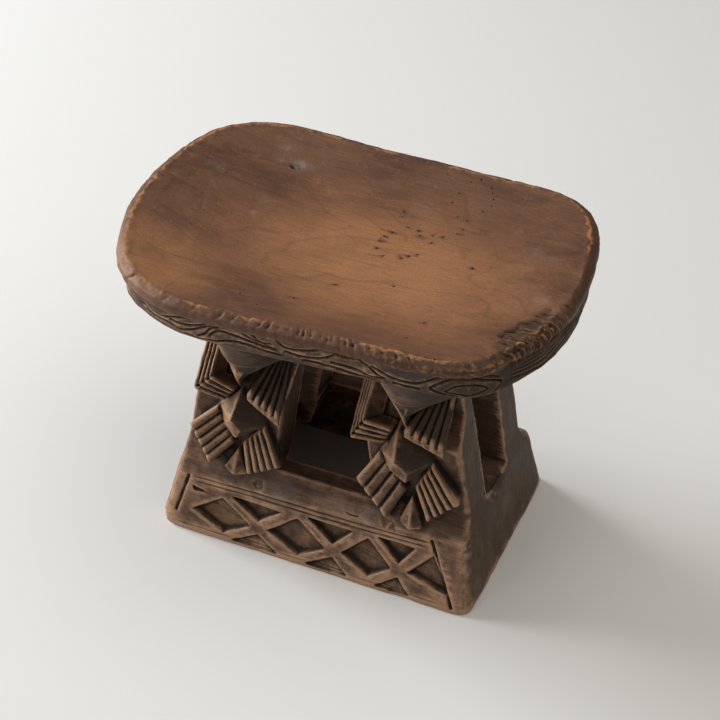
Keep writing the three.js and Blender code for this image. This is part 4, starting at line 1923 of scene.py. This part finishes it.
    def _pores(self, nodes: FinishNodes) -> Sum:
        """Gives short dark dashes along the grain, in patches.

        Args:
            nodes: The finish's nodes.

        Returns:
            1 in a dash and 0 beside it.
        """
        dash = nodes.add("ShaderNodeTexVoronoi", {"feature": "F1"}, {
            "Vector": nodes.place((85.0, 560.0, 560.0)), "Scale": 1.0, "Randomness": 1.0})
        patch = nodes.noise(Pattern((14.0, 26.0, 26.0), 1.0, 2.0))
        return dash.between(0.22, 0.10) * patch.between(0.56, 0.70)

    def _figure_lines(self, nodes: FinishNodes) -> Sum:
        """Gives a few thin dark lines of the wood's figure."""
        waves = nodes.noise(Pattern((3.0, 7.0, 7.0), 1.6, 2.0, 0.45, 0.7))
        fold = (waves * self.figure_folds).fraction()
        return fold.between(0.10, 0.0) + fold.between(0.9, 1.0)


@dataclass(frozen=True)
class PaleFloor:
    """Plain pale studio floor, matt and almost even.

    Attributes:
        colour: Its colour.
        darker: How much of its brightness its darkest places keep.
        roughness: Its roughness.
        specular: How strongly it shines.
    """

    colour: Triple = (0.80, 0.79, 0.775)
    darker: float = 0.98
    roughness: float = 0.85
    specular: float = 0.2

    def material(self) -> bpy.types.Material:
        """Builds the finish.

        Returns:
            The material.
        """
        nodes = FinishNodes("pale_floor", self.specular)
        cloud = nodes.noise(Pattern((1.0, 1.0, 1.0), 1.5, 2.0))
        dark = tuple(self.darker * part for part in self.colour)
        nodes.feed("Base Color", nodes.mix(cloud, self.colour, dark))
        nodes.feed("Roughness", self.roughness)
        return nodes.material


# Studio


def turn_to(item: bpy.types.Object, aim: Triple) -> None:
    """Turns a lamp or a camera so that it faces a place."""
    way = Vector(aim) - Vector(item.location)
    item.rotation_euler = way.to_track_quat("-Z", "Y").to_euler()


@dataclass(frozen=True)
class Lamp:
    """A soft square light.

    Attributes:
        name: What it is.
        place: Where it hangs, in metres.
        aim: The place that it faces.
        size: Side of the square, in metres.
        power: Its power in watts.
        colour: Its colour.
    """

    name: str
    place: Triple
    aim: Triple
    size: float
    power: float
    colour: Triple

    def hang(self) -> None:
        """Adds the light to the scene."""
        bpy.ops.object.light_add(type="AREA", location=self.place)
        lamp = bpy.context.object
        lamp.name = self.name
        lamp.data.shape = "SQUARE"
        lamp.data.size = self.size
        lamp.data.energy = self.power
        lamp.data.color = self.colour
        turn_to(lamp, self.aim)


@dataclass(frozen=True)
class Studio:
    """Floor, lights and camera.

    Attributes:
        camera_place: Where the camera stands, in metres.
        camera_aim: The point in the middle of its picture.
        lens: Focal length.
        sensor: Width of the sensor.
        sight: How far the camera sees, in metres.
        floor_size: Side of the floor, in metres.
        lamps: The lights.
        sky: Colour of the light from all round.
        sky_strength: How strong that light is.
    """

    camera_place: Triple = (0.59676, -1.34447, 1.44791)
    camera_aim: Triple = (-0.013015, 0.047497, 0.150)
    lens: float = 100.0
    sensor: float = 36.0
    sight: float = 50.0
    floor_size: float = 12.0
    lamps: tuple[Lamp, ...] = (
        Lamp("window", (-3.29, 0.14, 1.70), (0.0, 0.0, 0.12), 1.9, 154.0, (0.94, 0.97, 1.0)),
        Lamp("ceiling", (0.75, -0.10, 2.60), (0.15, 0.0, 0.0), 2.6, 32.0, (1.0, 0.96, 0.89)),
        Lamp("fill", (-1.0, -2.3, 0.9), (0.0, 0.0, 0.15), 1.2, 7.0, (1.0, 0.98, 0.96)))
    sky: Triple = (1.0, 0.965, 0.90)
    sky_strength: float = 0.17

    def build(self) -> None:
        """Sets the studio up."""
        bpy.context.scene.view_settings.view_transform = "Standard"
        self.lay_floor()
        for lamp in self.lamps:
            lamp.hang()
        self.light_sky()
        self.stand_camera()

    def lay_floor(self) -> None:
        """Lays the floor under the stool."""
        bpy.ops.mesh.primitive_plane_add(size=self.floor_size, location=(0, 0, 0))
        floor = bpy.context.object
        floor.name = "studio_floor"
        floor.data.materials.append(PaleFloor().material())

    def light_sky(self) -> None:
        """Gives the even light from all round."""
        world = bpy.data.worlds.new("studio_light")
        bpy.context.scene.world = world
        world.use_nodes = True
        back = world.node_tree.nodes["Background"]
        back.inputs["Color"].default_value = (*self.sky, 1.0)
        back.inputs["Strength"].default_value = self.sky_strength

    def stand_camera(self) -> None:
        """Stands the camera at the photograph's angle."""
        bpy.ops.object.camera_add(location=self.camera_place)
        camera = bpy.context.object
        turn_to(camera, self.camera_aim)
        camera.data.lens = self.lens
        camera.data.sensor_width = self.sensor
        camera.data.clip_end = self.sight
        bpy.context.scene.camera = camera


def main() -> None:
    """Builds the stool and the studio, in order."""
    logging.basicConfig(level=logging.INFO, format="%(asctime)s %(name)s: %(message)s")
    bpy.ops.object.select_all(action="DESELECT")
    stool = Stool()
    piece = stool.build()
    stool.dress(piece)
    log.info("%s: %d triangles", piece.name, len(piece.data.polygons))
    Studio().build()
    log.info("studio: floor, lights and camera")


if __name__ == "__main__":
    main()
